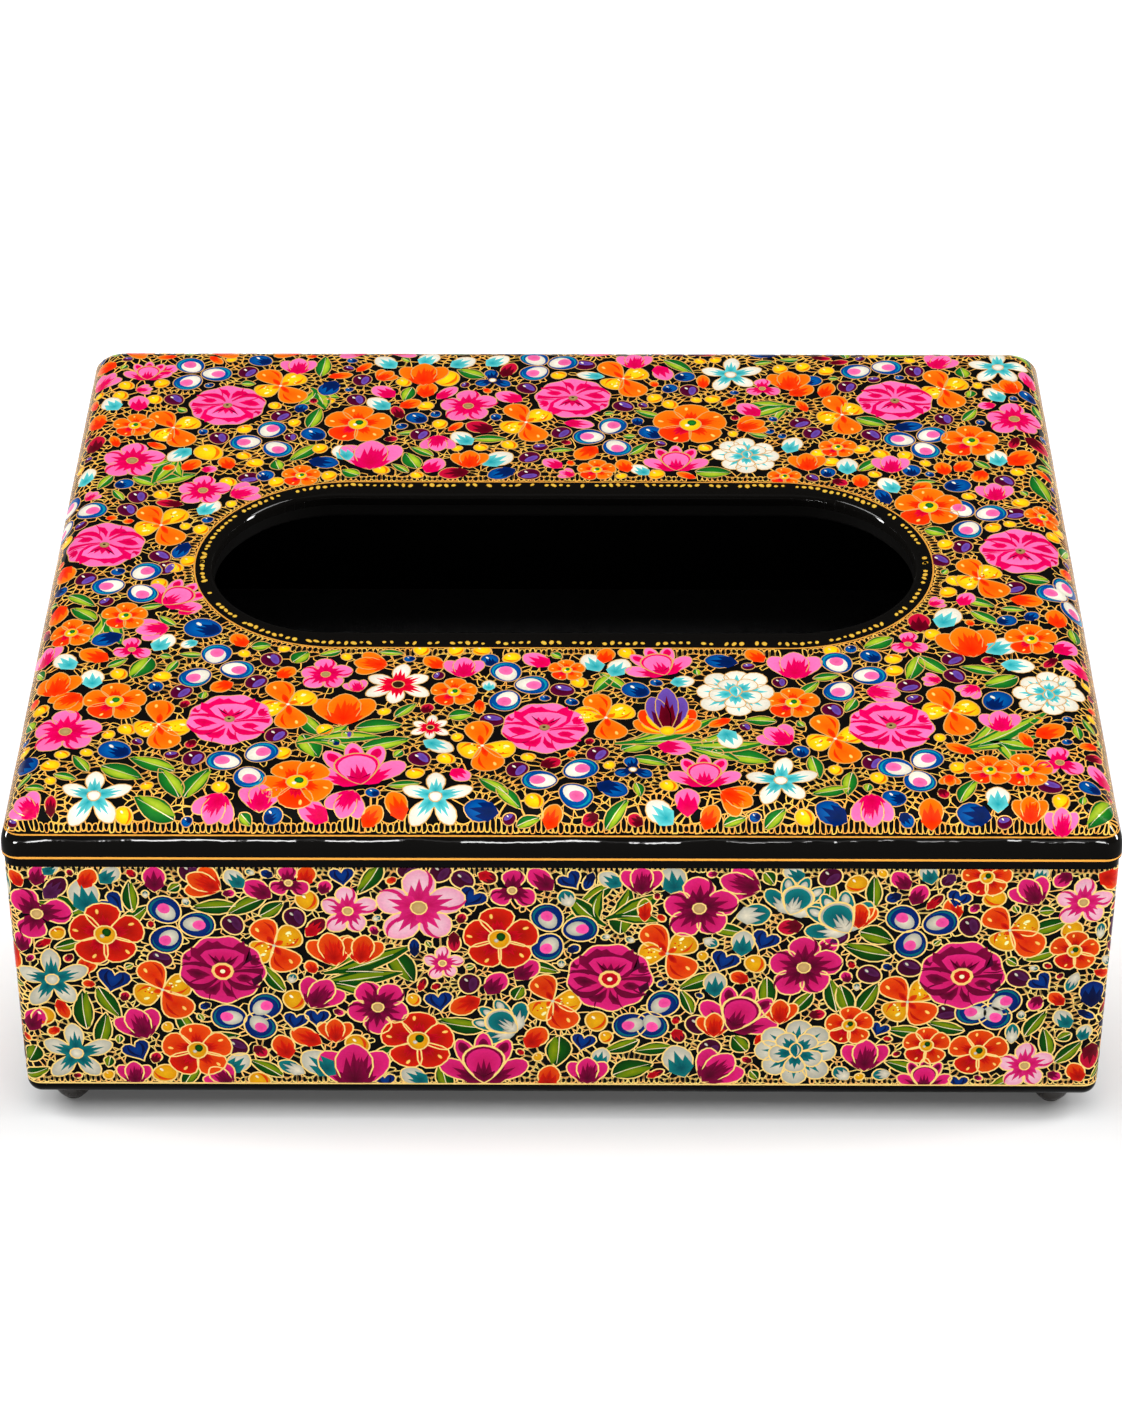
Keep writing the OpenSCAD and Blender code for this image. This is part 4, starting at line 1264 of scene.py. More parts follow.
lid_layout = {
    "rose": [
        (-76, -68), (-4, -71), (75, -70), (-112, 5, 180), (111, 3, 180), (-87, 71, 180),
        (2, 75, 180), (85, 74, 180)],
    "almonds": [
        (-81, -47, (-81, -42), (-85, -51), (-76, -48)),
        (-72, -85, (-76, -84), (-68, -81), (-70, -90)),
        (-11, -54, (-13, -49), (-7, -54), (-13, -60)), (-1, -91, (-5, -91), (4, -87), (3, -96)),
        (66, -51, (64, -45), (71, -50), (64, -56)), (79, -87, (75, -86), (82, -83), (80, -91)),
        (-104, -11, (-101, -7), (-109, -13), (-101, -16)),
        (-121, 22, (-117, 21), (-124, 27), (-125, 17)), (101, 18, (98, 22), (105, 20), (99, 13)),
        (119, -15, (116, -15), (121, -11), (122, -20)), (-95, 87, (-98, 91), (-91, 87), (-98, 83)),
        (-77, 54, (-75, 59), (-81, 53), (-73, 50)), (-5, 91, (-8, 88), (-1, 93), (-8, 95)),
        (10, 56, (12, 61), (6, 56), (13, 51)), (80, 91, (76, 89), (84, 91)),
        (89, 54, (85, 55), (93, 57), (91, 50))],
    "four": [
        (-63, -62, (-65, -56), (-66, -63), (-60, -60), (-62, -68)),
        (-92, -70, (-92, -64), (-94, -71), (-88, -71), (-90, -77)),
        (10, -67, (8, -61), (6, -66), (13, -65), (11, -72)),
        (-18, -78, (-19, -72), (-20, -79), (-14, -79), (-16, -86)),
        (62, -75, (60, -69), (59, -76), (65, -74), (64, -82)),
        (89, -64, (87, -58), (86, -64), (92, -63), (91, -71)),
        (-99, 14, (-103, 20), (-102, 13), (-96, 18), (-96, 8)),
        (100, -9, (98, -4), (98, -10), (102, -7), (103, -14)),
        (-100, 60, (-103, 65), (-97, 62), (-102, 57), (-97, 53)),
        (-74, 81, (-77, 86), (-71, 84), (-77, 79), (-70, 75)),
        (-10, 63, (-13, 70), (-7, 66), (-13, 61), (-8, 56)),
        (15, 85, (11, 91), (18, 87), (13, 83), (18, 78)),
        (71, 67, (69, 75), (68, 66), (73, 69), (72, 60)),
        (98, 80, (96, 87), (96, 79), (101, 82), (100, 73))],
    "lily": [(-104, -97, 8), (-28, -97, 8), (49, -91, 8), (43, 87, 8), (113, 91, 8)],
    "lotus": [(40, -57, 10), (112, -57, 9, 180), (46, 47, 9)],
    "striped": [(-38, -54, 8.5), (-30, -71, 5)],
    "pink": [
        (-113, -73, 8.5), (-55, -50, 6.5), (-109, 44, 8.5), (-90, 30, 7), (-25, 71, 8),
        (115, 65, 8)],
    "pink_three": [(-101, -40, 5), (112, -84, 6), (51, 80, 5), (81, -37, 5)],
    "round": [
        (-103, -61, 6), (-59, -92, 7, 30), (-104, -26, 4.5), (-116, -33, 4.5), (-110, 61, 4.5),
        (-53, 62, 7), (32, 62, 8), (103, 54, 6), (90, 23, 7), (69, 51, 4), (96, -87, 4.5),
        (104, -87, 5), (110, -35, 5), (53, -61, 5), (1, -48, 3.5), (-25, -57, 4.5), (8, 40, 4),
        (55, 37, 3.5), (-66, 37, 4), (118, 19, 4)],
    "iris": [(24, -73, 18)],
    "peony": [
        (-46, -86, 12, 10), (-92, -17, 9, -40), (22, -45, 9, 20), (32, -88, 9), (28, 45, 9),
        (-109, 88, 7)],
    "tulip_pink": [
        (54, -46, 8), (-49, 47, 10), (-77, -100, 6, 160), (-67, -97, 6), (-23, -47, 6),
        (49, -74, 6, 40), (100, -68, 6), (69, -100, 6, 180), (111, -103, 5), (-70, 91, 6),
        (18, 94, 6), (98, 94, 6, -30), (82, 43, 6), (107, 30, 6)],
    "tulip_orange": [
        (-50, -64, 9), (95, -36, 9, 10), (-117, -54, 7), (-24, 45, 6), (58, 84, 7), (-37, 87, 8),
        (104, -100, 5), (61, 44, 6)],
    "bud_pink": [
        (-55, -101, 5), (-6, -44, 5), (118, -38, 5), (-110, 72, 5), (-33, 42, 5), (96, -18, 4),
        (-47, 78, 5), (121, 87, 5), (-3, 43, 4), (-89, -23, 4), (-104, 89, 4)],
    "bud_orange": [
        (82, -101, 5), (-85, 43, 4), (-94, 42, 4), (-36, 79, 5), (61, 79, 5), (74, 35, 4),
        (95, 41, 4), (100, 42, 4), (115, 46, 6), (15, 42, 4), (-40, 72, 4), (117, -26, 5),
        (-76, -36, 4), (45, -42, 4), (10, -42, 4), (-30, -45, 4), (-121, 93, 5), (33, -102, 4),
        (-2, -102, 4), (-42, -102, 4), (89, 32, 4)],
    "berry_blue": [
        (-85, -31, 4), (-101, -80, 3.4), (-94, -55, 1.8), (17, -56, 3), (-17, -44, 2.2),
        (72, -42, 2.4), (100, -60, 3.4), (54, -80, 2), (74, -97, 2.4), (-64, -102, 2),
        (118, -93, 2.4), (-80, 94, 2.8), (-64, 57, 3), (-75, 37, 2.2), (-38, 65, 2.6), (22, 58, 3),
        (31, 86, 2.4), (27, 80, 2), (64, 84, 2.4), (66, 39, 2), (87, 40, 2.4), (98, 33, 3),
        (105, -27, 2.2), (120, 78, 2.4), (-110, 33, 2.2)],
    "three_blue": [(16, -87, 5), (-19, 84, 5.5)],
    "berry_purple": [
        (-88, -57), (-71, -53), (-68, -44), (-65, -74), (-83, -83), (0, -56), (-16, -68),
        (-32, -83), (8, -81), (-10, -87), (80, -54), (91, -43), (91, -50), (62, -64), (70, -84),
        (109, -93), (-98, 0), (-96, -5), (-115, -10), (-108, 21), (-106, 27), (97, 5), (91, -1),
        (108, -13), (111, 20), (-83, 88), (-101, 74), (-73, 66), (-88, 55), (-79, 36), (-53, 84),
        (-54, 74), (-37, 57), (-9, 46), (-9, 38), (-1, 58), (-10, 80), (5, 92), (15, 71), (73, 81),
        (60, 63), (63, 58), (78, 57), (97, 65), (91, 89), (110, 35), (32, 79)],
    "bud_white": [
        (-94, -37, 5), (-116, -45, 5), (-109, -52, 5), (7, -45, 5), (13, -47, 5), (22, -101, 5),
        (97, -97, 5), (103, -38, 6), (91, -26, 6), (-88, 22, 5), (-117, 72, 5), (-47, 93, 5),
        (-36, 95, 5), (-27, 93, 5), (-18, 94, 5), (-56, 48, 5), (-26, 55, 5), (-17, 45, 6),
        (19, 40, 4), (71, 42, 5), (81, 33, 5), (109, 46, 5), (111, 77, 5), (-48, 72, 5)],
    "berry_yellow": [
        (-103, -50), (-93, -51), (-99, -72), (-115, -86), (-120, -63), (-76, -94), (-63, -81),
        (-54, -72), (-97, -102), (-12, -43), (-19, -40), (-25, -40), (-33, -40), (15, -41),
        (4, -53), (-26, -83), (-6, -98), (24, -93), (63, -40), (77, -48), (87, -33), (89, -86),
        (71, -90), (54, -102), (111, -98), (-89, 12), (-91, -2), (-94, -5), (-97, -12), (113, 25),
        (93, 6), (94, -10), (92, -15), (122, 15), (120, 11), (-105, 82), (-114, 81), (-115, 76),
        (-106, 74), (-90, 48, 3), (-78, 43), (-72, 34), (-84, 34), (-59, 37), (-62, 50), (-46, 40),
        (-42, 83), (-31, 85, 3), (-36, 71), (-32, 62), (-14, 52), (23, 38), (23, 75), (27, 72),
        (56, 90), (68, 89), (62, 91), (64, 48), (67, 44), (75, 50), (80, 48), (86, 47), (98, 49),
        (-100, 28)],
    "leaf": [
        (-87, -42, 4), (-91, -47, 4), (-108, -85, 5), (-40, -41, 4), (-36, -64, 5), (-35, -93, 5),
        (97, -47, 6), (-98, -22, 4), (-94, -28, 4), (107, -22, 4), (-111, 28, 4), (-115, 34, 5),
        (-40, 58, 4), (-41, 41, 4), (-36, 49, 5), (-1, 50, 4), (19, 50, 5), (21, 67, 5),
        (90, 35, 4), (104, 67, 5), (57, -55, 5), (-92, -85, 8, 60), (-87, -92, 8, 20),
        (-82, -92, 8, -20), (-58, -70, 7, 40), (-40, -77, 8, -70), (9, -53, 6), (12, -52, 6),
        (20, -83, 6), (-12, -97, 6), (-15, -93, 6), (12, -101, 6), (82, -47, 7), (86, -46, 7),
        (64, -92, 6), (60, -95, 6), (57, -86, 6), (90, -94, 6), (-115, -19, 6), (99, -19, 6),
        (100, -26, 6), (-97, 36, 7), (-63, 91, 7), (-64, 65, 7), (-66, 48, 7), (-19, 55, 6),
        (30, 92, 7), (77, 43, 6)],
    "spray": [
        (-60, -77, (-50, -73), (-41, -76)), (12, -77, (24, -76), (36, -68)),
        (24, -77, (36, -80), (46, -78)), (88, -79, (98, -78), (112, -65)),
        (97, -76, (102, -76), (106, -80)), (-110, -25, (-106, -31), (-105, -38)),
        (-97, 47, (-100, 41), (-104, 34)), (-66, 80, (-62, 76), (-63, 69)),
        (60, 71, (52, 72), (46, 66))],
}
def rounded(half_w, half_d, r, x=0.0, y=0.0, step=1.2):
    """A rounded rectangle as a closed line, with its points about a step apart."""
    line = []
    for i, (sx, sy) in enumerate(((1, 1), (-1, 1), (-1, -1), (1, -1))):
        turn = np.radians(np.linspace(90 * i, 90 * i + 90, max(6, int(r * 1.6 / step)) + 1))
        middle = (sx * (half_w - r) + x, sy * (half_d - r) + y)
        arc = np.column_stack((np.cos(turn), np.sin(turn))) * r + middle
        ahead, run = ((0, -sy), half_d - r) if i % 2 else ((-sx, 0), half_w - r)
        along = np.linspace(0, 2 * run, max(2, int(2 * run / step)))[1:-1, None]
        line += [arc, arc[-1] + along * np.array(ahead, float)]
    return np.vstack(line)


most_room = 3.9  # mm from a motif's middle to the next one, ring and all
large_room = 1.9
turn_step = 20
changed_round = 12  # mm round a new motif in which the room left is measured again


def fill_gaps(sheet, low, high, allowed, small, large, *, smallest, ring):
    """Puts a berry, bud or leaf in each bare place, along the way in which it is longest,
    and leaves a ring of ground round each for the net."""
    low, shape, x, y = lay_grid(low, high)
    far = spread(fill_outlines(sheet.covered, low, shape) | ~allowed(x, y), 24)
    picks = np.argwhere(far > smallest + ring)
    picks = picks[np.argsort(-far[picks[:, 0], picks[:, 1]], kind="stable")]
    for i, j in picks:
        room = min(far[i, j], most_room) - ring
        if room < smallest:
            continue
        u, v = x[i, j], y[i, j]
        best, way, reach = 0, sheet.hand.randrange(0, 180, turn_step), 1.2 * (room + ring)
        for turn in range(0, 180, turn_step):
            step = put((0, reach / net_grid), 0, 0, turn)
            ends = [far[tuple(np.clip(
                (i + s * step[0], j + s * step[1]), 0, np.array(shape) - 1).astype(int))]
                for s in (-1, 1)]
            if min(ends) > best:
                best, way = min(ends), turn
        kind = sheet.hand.choice(small if room < large_room else large)
        half_long = room * 1.05
        if kind.startswith("berry"):
            painters[kind](sheet, u, v, room * 0.88, way)
        else:
            if best > ring * 0.8:
                longest = 5.5 if kind == "leaf" else 4.0
                half_long = min(reach + max(best - ring, 0) * 0.6, room * 2.1, longest)
            way += sheet.hand.choice((0, 180))
            wide = () if kind.startswith("tulip") else (min(2.1 * room / (2 * half_long), 0.8),)
            painters[kind](sheet, u, v, 2 * half_long, way, *wide)
        n = int(changed_round / net_grid)
        near = (slice(max(i - n, 0), i + n), slice(max(j - n, 0), j + n))
        along = put((0, 1), 0, 0, way)
        away = (x[near] - u) * along[0] + (y[near] - v) * along[1]
        beside = (x[near] - u) * along[1] - (y[near] - v) * along[0]
        beyond = (np.abs(away) - (half_long - room)).clip(0)
        far[near] = np.minimum(far[near], np.hypot(beyond, beside) - room)


def fatten(kind, rest, shares):
    """What follows a motif's place, with its size, if it has one, made fuller."""
    if rest and not isinstance(rest[0], tuple):
        rest[0] *= shares.get(kind.split("_")[0], 1)
    return rest


shoulder_line = 11.3
border_r = 36.5
border_run = 52.8
border_y = -2.2
border_pull = 20  # mm from the slot's middle line, inside which a dab is left alone


def trim_on_lid(points):
    """Ends a dab where it would cross the border of the slot or the shoulder line."""
    edge = (flat_w + shoulder_line, flat_d + shoulder_line)
    points = np.clip(points, (-edge[0], -edge[1]), edge)
    near = np.column_stack((
        points[:, 0].clip(-border_run, border_run), np.full(len(points), border_y)))
    away = points - near
    far = np.hypot(*away.T)
    stop = border_r + 0.15
    inside = (far > border_pull) & (far < stop)
    points[inside] = (near + away * (stop / np.maximum(far, 1))[:, None])[inside]
    return points


lid_sheet = Sheet("lid", "lid", over_lid, 0.24, lid_colours, trim_on_lid)
lid_shares = {"round": 1.25, "tulip": 1.4, "bud": 1.55, "leaf": 1.5, "peony": 1.15, "lily": 1.1}
for kind, places in lid_layout.items():
    for x, y, *rest in places:
        painters[kind](lid_sheet, x, y, *fatten(kind, rest, lid_shares))


def on_lid_ground(x, y):
    """Between the border of the slot and the gold line round the shoulder."""
    beyond = np.hypot((np.abs(x) - border_run).clip(0), y - border_y) - border_r
    room = shoulder_line - 0.6
    return (beyond > 0.5) & (np.abs(x) < flat_w + room) & (np.abs(y) < flat_d + room)


ground_low, ground_high = (-flat_w - 13, -flat_d - 13), (flat_w + 13, flat_d + 13)
fill_gaps(
    lid_sheet, ground_low, ground_high, on_lid_ground,
    ["berry_yellow", "berry_yellow", "berry_purple", "leaf", "bud_orange", "bud_red",
     "berry_blue", "leaf"],
    ["bud_pink", "leaf", "bud_orange", "bud_white", "bud_red", "leaf", "drop_blue",
     "tulip_pink", "tulip_orange"],
    smallest=1.25, ring=1.15)


def fringe_row(line, inwards):
    """Points on both sides of a closed border, for a row of fingers that ends on it."""
    ahead = np.roll(line, -1, 0) - np.roll(line, 1, 0)
    ahead /= np.linalg.norm(ahead, axis=1)[:, None]
    across = np.column_stack((-ahead[:, 1], ahead[:, 0])) * inwards
    return line + across, line - across


edge_w, edge_d = flat_w + shoulder_line, flat_d + shoulder_line
slot_border = rounded(border_run + border_r, border_r, border_r - 0.01, 0, border_y, 1.25)
draw_net(
    lid_sheet, ground_low, ground_high, on_lid_ground,
    pitch=1.15, depth=2.2, width=0.27, apron=2.9,
    fringe=[fringe_row(rounded(edge_w, edge_d, tight, step=1.25), 1.5),
            fringe_row(slot_border, -1.3)])

# The gold lines are as wide as the brush that drew them: a fine one round the slot, with
# a row of beads inside it, one round the shoulder and a broad one along the rim's edge.
slot_line_half, slot_line_w = (89.4, 36.6), 0.42
bead_half, bead_pitch = (87.5, 34.8), 1.75
shoulder_line_w = 0.36
seam_line_w = 0.58
lid_sheet.level = 1.0
lid_sheet.trim = lambda points: points
slot_line = rounded(*slot_line_half, slot_line_half[1] - 0.01, 0, border_y)
stroke(lid_sheet, "line_gold", slot_line, slot_line_w, 0, closed=True)
for x, y in rounded(*bead_half, bead_half[1] - 0.01, 0, -2.0, bead_pitch):
    if lid_sheet.hand.random() > 0.2:
        long, wide, turn = (
            lid_sheet.hand.uniform(*limits) for limits in ((0.8, 1.9), (0.8, 1.3), (-60, 60)))
        bead = put(egg(0, 0, long, wide, turn, 8), x, y + lid_sheet.hand.uniform(-0.3, 0.3))
        core(lid_sheet, "bead", bead, 0.3)
stroke(lid_sheet, "line_gold", rounded(edge_w, edge_d, tight), shoulder_line_w, 0.5, closed=True)
rim_run = roll * math.pi / 2 + (lid_top - shoulder_r - lid_rim) / MM - 0.55
seam_line = rounded(flat_w + rim_run, flat_d + rim_run, tight)
back_middle = np.argmin(np.abs(seam_line - (0, flat_d + rim_run)).sum(1))
seam_line = np.roll(seam_line, -back_middle, 0)
seam_line = np.vstack((seam_line, seam_line[:1]))
from_hinge = np.abs(np.abs(seam_line[:, 0]) - hinge_x / MM)
at_barrel = (seam_line[:, 1] > flat_d) & (from_hinge < barrel_cut_w / MM / 2 + 0.6)
for run in np.split(np.arange(len(seam_line)), np.flatnonzero(np.diff(at_barrel)) + 1):
    if not at_barrel[run[0]]:
        stroke(lid_sheet, "line_gold", seam_line[run], seam_line_w, 0.5)
lay_on(lid_sheet)


# ---- Painting on the body ----
# The four walls carry the same flowers in deeper colours, with broad pale gold lines
# round every petal, between a plain black band under the lid and a gold line at the
# foot. The painter repeats the front's group of flowers round the box.
wall_colours = dict(
    lid_colours,
    pink=("pink", (0.86, 0.13, 0.46), (0.76, 0.05, 0.34)),
    magenta=("pink", (0.5, 0.0, 0.22), (0.3, 0.0, 0.12)),
    rose_spot=("pink", (0.98, 0.35, 0.65), (0.94, 0.25, 0.58)),
    red=("pink", (0.78, 0.02, 0.1), (0.6, 0.0, 0.05)),
    orange=("warm", (0.9, 0.3, 0.03), (0.82, 0.13, 0.01)),
    red_orange=("warm", (0.84, 0.11, 0.02), (0.62, 0.03, 0.02)),
    yellow=("warm", (0.84, 0.55, 0.03), (0.92, 0.68, 0.06)),
    blue=("blue", (0.0, 0.09, 0.36), (0.0, 0.2, 0.5)),
    deep_blue=("blue", (0.0, 0.07, 0.26), (0.02, 0.04, 0.2)),
    teal_blue=("blue", (0.0, 0.34, 0.42), (0.0, 0.4, 0.44)),
    white=("pale", (0.68, 0.68, 0.62), (0.9, 0.86, 0.76)),
    teal=("pale", (0.06, 0.46, 0.46), (0.0, 0.3, 0.34)),
    purple=("purple", (0.28, 0.02, 0.17), (0.2, 0.0, 0.1)),
    lilac=("purple", (0.32, 0.1, 0.3), (0.25, 0.05, 0.2)),
    green=("green", (0.01, 0.18, 0.03), (0.05, 0.32, 0.03)),
    lime=("green", (0.3, 0.45, 0.02), (0.5, 0.56, 0.03)),
    gold=("gold", (1.2, 0.82, 0.46), (1.2, 0.88, 0.54)),
    net_gold=("net", (1.25, 0.8, 0.43), (1.25, 0.87, 0.51)),
    soft_pink=("pink", (0.93, 0.6, 0.72), (0.95, 0.8, 0.83)))
wall_layout = {
    "rose": [(-77, 45), (11, 43), (91, 44)],
    "almonds": [
        (-86, 58, (-89, 62), (-82, 58), (-89, 54)), (-71, 31, (-76, 31), (-68, 34), (-69, 28)),
        (-1, 56, (-3, 60), (-3, 52), (4, 57)), (20, 31, (23, 35), (16, 29), (21, 28)),
        (80, 57, (77, 60), (85, 59), (79, 53)), (98, 33, (101, 36), (94, 33), (100, 31))],
    "four": [
        (-65, 52, (-67, 56), (-62, 54), (-67, 51), (-63, 48)),
        (-91, 39, (-93, 44), (-88, 40), (-94, 38), (-88, 34)),
        (-2, 36, (-4, 40), (1, 36), (-4, 34), (0, 31)),
        (24, 50, (21, 55), (21, 50), (27, 52.5), (27, 46)),
        (101, 57, (98, 60), (104, 58), (100, 55), (106, 53)),
        (79, 36, (76, 40), (82, 39), (77, 34), (82, 33))],
    "lily": [(-116, 42, 9), (-112, 20, 9)],
    "lotus": [(54, 21, 10)],
    "pink_lily": [(-32, 63, 11), (117, 65, 7), (107, 17, 7), (-27, 47, 5), (-48, 62, 7)],
    "pink": [(31, 63, 9), (55, 46, 9), (-42, 34, 8, 30)],
    "pink_three": [(-11, 68, 6), (-118, 61, 8, 40), (-61, 70, 5)],
    "peony": [(-18, 18, 13), (41, 33, 12, -20), (84, 14, 8)],
    "round": [(-84, 21, 7), (96, 21, 6), (84, 23, 5), (95, 72, 5), (66, 29, 5), (116, 51, 5)],
    "red_round": [(-103, 55, 8), (-14, 54, 8), (-33, 24, 8)],
    "teal_fan": [(62, 61, 9, 30), (53, 66, 8, -20), (-14, 30, 8, 50)],
    "tulip_orange": [
        (-52, 51, 8, 10), (-45, 51, 7, -10), (-52, 27, 6), (35, 29, 6), (-80, 70, 7, 60),
        (67, 61, 6), (50, 33, 6)],
    "tulip_pink": [
        (-97, 29, 8, 20), (-55, 38, 8, -30), (-48, 16, 12), (40, 70, 8, 70), (36, 16, 9, -40),
        (18, 71, 7), (-99, 14, 6), (119, 36, 9), (70, 20, 8), (105, 68, 7, 30), (6, 15, 7),
        (-79, 13, 6, 40)],
    "bud_pink": [
        (-91, 71, 6), (-68, 68, 6), (-117, 72, 5), (-121, 30, 6), (-15, 41, 6), (-8, 45, 6),
        (76, 71, 5), (80, 67, 5), (-122, 53, 5), (60, 52, 5)],
    "bud_orange": [
        (-106, 71, 5), (-57, 72, 5), (-64, 22, 6), (-6, 25, 6), (-3, 13, 6), (119, 15, 5),
        (-122, 71, 4), (113, 37, 4), (-108, 46, 5), (47, 25, 5), (88, 63, 5)],
    "heart_blue": [
        (-101, 64, 3.5), (-102, 42, 4), (-98, 21, 3.5), (-61, 30, 3), (-56, 31, 3), (-49, 72, 3),
        (-20, 66, 3.4), (-28, 36, 3.4), (-41, 12, 2.6), (2, 71, 3), (37, 48, 3.5), (46, 54, 3.4),
        (5, 24, 3), (89, 66, 3), (109, 42, 3), (73, 28, 2.4), (92, 12, 2.4)],
    "berry_purple": [
        (-83, 73), (-74, 58), (-91, 48), (-75, 22), (-60, 60), (-34, 74), (-27, 73), (-22, 71),
        (-21, 41), (31, 29), (34, 22), (62, 55), (60, 72), (92, 58), (79, 46), (88, 33), (104, 43),
        (-105, 49), (70, 44)],
    "bud_white": [
        (-107, 66, 8), (-101, 72, 5), (-73, 71, 5), (-75, 17, 6), (-34, 13, 6), (11, 71, 5),
        (25, 71, 7), (52, 73, 5), (41, 53, 6), (82, 73, 5), (107, 73, 4), (115, 31, 5),
        (120, 27, 4), (9, 19, 5), (-114, 74, 4), (-56, 17, 8), (27, 18, 8), (35, 41, 6)],
    "berry_yellow": [
        (-57, 65, 2.2), (-92, 14, 2.2), (-119, 31, 2.2), (-47, 23, 2.2), (-61, 36, 2.2),
        (44, 47, 2), (8, 30, 2.2), (115, 57, 2), (97, 66, 2), (-70, 12, 2), (66, 70, 2)],
    "leaf": [
        (-97, 66, 7), (-111, 52, 6), (-96, 60, 7), (-78, 63, 8), (-71, 64, 8), (-110, 33, 9),
        (-104, 35, 8), (-105, 27, 8), (-87, 29, 7), (-79, 24, 8), (-68, 16, 7), (-42, 71, 8),
        (-23, 28, 9), (-41, 19, 9), (-27, 12, 8), (-4, 46, 6), (8, 67, 7), (31, 42, 8), (29, 36, 6),
        (38, 57, 7), (14, 22, 7), (21, 22, 7), (47, 38, 8), (55, 35, 7), (62, 38, 8), (60, 67, 7),
        (70, 68, 7), (110, 58, 8), (109, 50, 7), (69, 50, 9), (70, 37, 8), (65, 36, 8), (88, 28, 7),
        (79, 27, 7), (108, 30, 7), (112, 24, 7), (117, 21, 7), (79, 17, 7), (102, 12, 7),
        (-86, 14, 7), (-66, 42, 7), (-122, 14, 6)],
    "spray": [
        (-54, 44, (-46, 45), (-33, 51)), (-56, 41, (-48, 42), (-36, 43)),
        (10, 58, (4, 62), (3, 67)), (10, 60, (16, 62), (23, 66)),
        (-113, 60, (-108, 62), (-112, 66))],
}
wall_shares = {"bud": 1.25, "leaf": 1.3, "tulip": 1.2, "round": 1.15, "red": 1.1, "teal": 1.2}
reach = {"rose": 10, "almonds": 8.5, "four": 8, "spray": 7}
spread_of = {"berry": 1.0, "bud": 0.5, "leaf": 0.5}
foot_line = 11.0
loops_top = 74.9


def trim_on_walls(points):
    """Ends a dab at the gold line at the foot and under the black band."""
    return np.clip(points, (-1e3, foot_line + 0.2), (1e3, loops_top - 0.6))


wall_sheet = Sheet("body", "body", round_walls, 0.36, wall_colours, trim_on_walls)


def paint_wall(middle, half_run, mirror):
    """Repeats the front's flowers on a wall, leaving out what would meet a corner's."""
    taken = []
    for kind, places in wall_layout.items():
        for x, y, *rest in places:
            rest = fatten(kind, rest, wall_shares)
            lobes = bool(rest) and isinstance(rest[0], tuple)
            size = rest[0] if rest and not lobes else 4.5
            room = reach.get(kind, size * spread_of.get(kind.split("_")[0], 0.9))
            if abs(x) + room * 0.8 > half_run:
                continue
            if any(math.hypot(x - a, y - b) < room + r - 5 for a, b, r in taken):
                continue
            if half_run < 120:
                taken.append((x, y, room))
            if lobes:
                rest = [(middle + mirror * u, v) for u, v in rest]
            painters[kind](wall_sheet, middle + mirror * x, y, *rest)


half_front = wall_w + quarter_turn / 2
half_side = wall_d + quarter_turn / 2
paint_wall(0, half_front + 3, 1)
paint_wall(way_round / 2, half_front, -1)
paint_wall(way_round / 4, half_side, -1)
paint_wall(-way_round / 4, half_side, 1)
strip_low = way_round / 2 + half_front - way_round
strip_high = strip_low + way_round


def on_walls(x, y):
    return (x > strip_low) & (x < strip_high) & (y > foot_line + 0.4) & (y < loops_top)


wall_low, wall_high = (strip_low - 1.5, foot_line - 1), (strip_high + 1.5, loops_top + 1.5)
fill_gaps(
    wall_sheet, wall_low, wall_high, on_walls,
    ["berry_yellow", "leaf", "bud_orange", "bud_red", "drop_blue", "drop_teal", "drop_maroon",
     "leaf", "bud_pink"],
    ["bud_pink", "leaf", "drop_teal", "bud_red", "drop_blue", "leaf", "drop_maroon",
     "drop_purple", "bud_orange"],
    smallest=1.0, ring=0.95)
across_wall = np.arange(strip_low + 0.5, strip_high, 1.2)
draw_net(
    wall_sheet, wall_low, wall_high, on_walls, pitch=1.02, depth=2.0, width=0.3, apron=1.9,
    fringe=[[np.column_stack((across_wall, np.full(len(across_wall), z + side * 1.0)))
             for side in (way, -way)] for z, way in ((loops_top, -1), (foot_line, 1))])
round_box = np.arange(strip_low, strip_high + 0.6, 1.0)
wall_sheet.level = 1.0
wall_sheet.trim = lambda points: points
foot = np.column_stack((round_box, np.full(len(round_box), foot_line)))
stroke(wall_sheet, "gold", foot, 0.45, 0.3)
lay_on(wall_sheet)


# ---- Floor and lamps ----
# The box stands on a plain pale sweep that runs out to white, with soft boxes on both
# sides, above and low in front. The sweep glows for rays that are seen and not for those
# that light it, and its glow is painted weaker close to the box: a painted shadow that keeps the
# floor dark under the box.
deselect_all()
bpy.ops.mesh.primitive_plane_add(size=8, location=(0, 1, 0))
floor = bpy.context.object
floor.name = "floor"
floor_material, floor_shader = new_material(
    "pale_floor", (0.6, 0.6, 0.6), 0.9, Specular_IOR_Level=0.0, Emission_Color=(1, 1, 1, 1))
rays = add_node(floor_material, "ShaderNodeLightPath")
seen = None
for ray in ("Is Camera Ray", "Is Glossy Ray", "Is Transmission Ray"):
    either = add_node(floor_material, "ShaderNodeMath", operation="MAXIMUM")
    link(rays, ray, either, 0)
    if seen:
        link(seen, 0, either, 1)
    seen = either
place = add_node(floor_material, "ShaderNodeNewGeometry")
# The glow grows with the distance from the box, so near the box it is a painted shadow.
ahead = add_node(floor_material, "ShaderNodeVectorMath", operation="MULTIPLY_ADD")
ahead.inputs[1].default_value = (0.25, 1, 0)
ahead.inputs[2].default_value = (0, 0.13, 0)
away = add_node(floor_material, "ShaderNodeVectorMath", operation="LENGTH")
painted_shadow_ramp = add_node(
    floor_material, "ShaderNodeMapRange", From_Min=0.045, From_Max=0.16, To_Min=0.06, To_Max=0.7)
glow = add_node(floor_material, "ShaderNodeMath", operation="MULTIPLY")
link(place, "Position", ahead, 0)
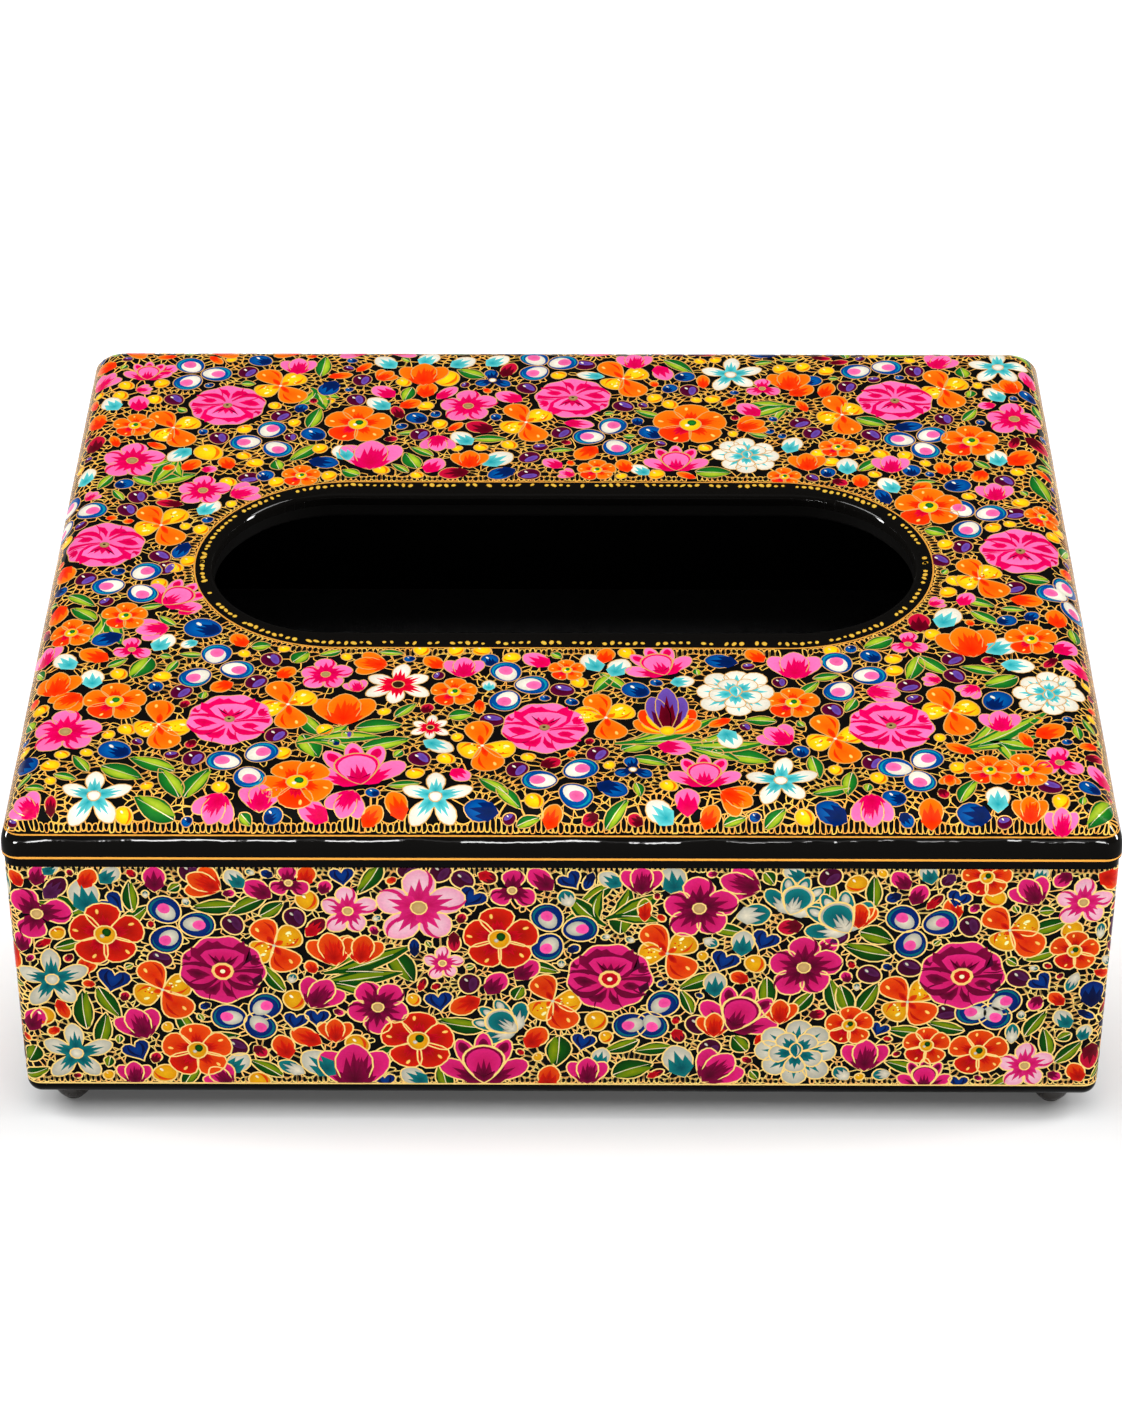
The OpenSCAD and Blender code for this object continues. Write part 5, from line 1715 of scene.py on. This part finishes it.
link(ahead, "Vector", away, 0)
link(away, "Value", painted_shadow_ramp, "Value")
link(painted_shadow_ramp, "Result", glow, 1)
link(seen, 0, glow, 0)
link(glow, 0, floor_shader, "Emission Strength")
floor.data.materials.append(floor_material)
floor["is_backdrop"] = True


def soft_box(name, place, aim_at, size, watts, only=None):
    """A lamp with a rectangular face, flagged off all but one thing if that is named."""
    data = bpy.data.lights.new(name, "AREA")
    data.shape = "RECTANGLE"
    data.size, data.size_y = size
    data.energy = watts
    lamp = bpy.data.objects.new(name, data)
    scene.collection.objects.link(lamp)
    lamp.location = place
    lamp.rotation_euler = (Vector(aim_at) - Vector(place)).to_track_quat("-Z", "Y").to_euler()
    lamp.light_linking.receiver_collection = only


def alone(name, piece):
    """A collection of one piece, for a lamp that lights nothing else."""
    collection = bpy.data.collections.new(name)
    collection.objects.link(piece)
    return collection


sides = (("left", -1), ("right", 1))
for name, side in sides:
    soft_box(f"{name}_soft_box", (side * 0.85, -0.05, 0.9), (0, 0, 0.05), (0.22, 0.55), 8)
soft_box("top_soft_box", (0, -0.6, 1.6), (0, 0, 0.05), (1.2, 1.0), 9.5)
soft_box("front_strip", (0, -1.6, 0.11), (0, 0, 0.05), (1.7, 0.08), 8)

# One soft box is for the floor alone, which it lights without filling the shadow.
soft_box("floor_soft_box", (0, -0.7, 1.7), (0, 0.3, 0), (2.2, 1.2), 24, alone("floor_only", floor))

# Short strips light the lid's lacquer alone and pick out its ridges: the low ones in
# front leave broken streaks along the rim, the others the thin lights at the corners.
lacquer_only = alone("lacquer_only", lid_coat)
glints = [(f"front_glint_{x}", (x / 100, -1.6, z), (wide, tall), watts)
          for x, z, wide, tall, watts in (
              (-86, 0.07, 0.34, 0.14, 220), (-50, 0.05, 0.2, 0.09, 55), (-14, 0.06, 0.3, 0.08, 60),
              (18, 0.04, 0.06, 0.03, 3), (42, 0.05, 0.16, 0.07, 26), (72, 0.06, 0.05, 0.04, 3),
              (91, 0.06, 0.05, 0.06, 8))]
for name, side in sides:
    glints += [(f"{name}_glint", (side * 0.8, 0, 1.2), (0.2, 0.8), 110),
               (f"{name}_corner_glint", (side * 1.2, -0.1, 0.35), (0.16, 0.65), 240)]
for name, place, size, watts in glints:
    soft_box(name, place, (0, 0, 0.08), size, watts, lacquer_only)

world = bpy.data.worlds.new("studio")
scene.world = world
world.use_nodes = True
world.node_tree.nodes["Background"].inputs["Color"].default_value = (0.5, 0.5, 0.5, 1)
world.node_tree.nodes["Background"].inputs["Strength"].default_value = 0.24

low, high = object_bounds()
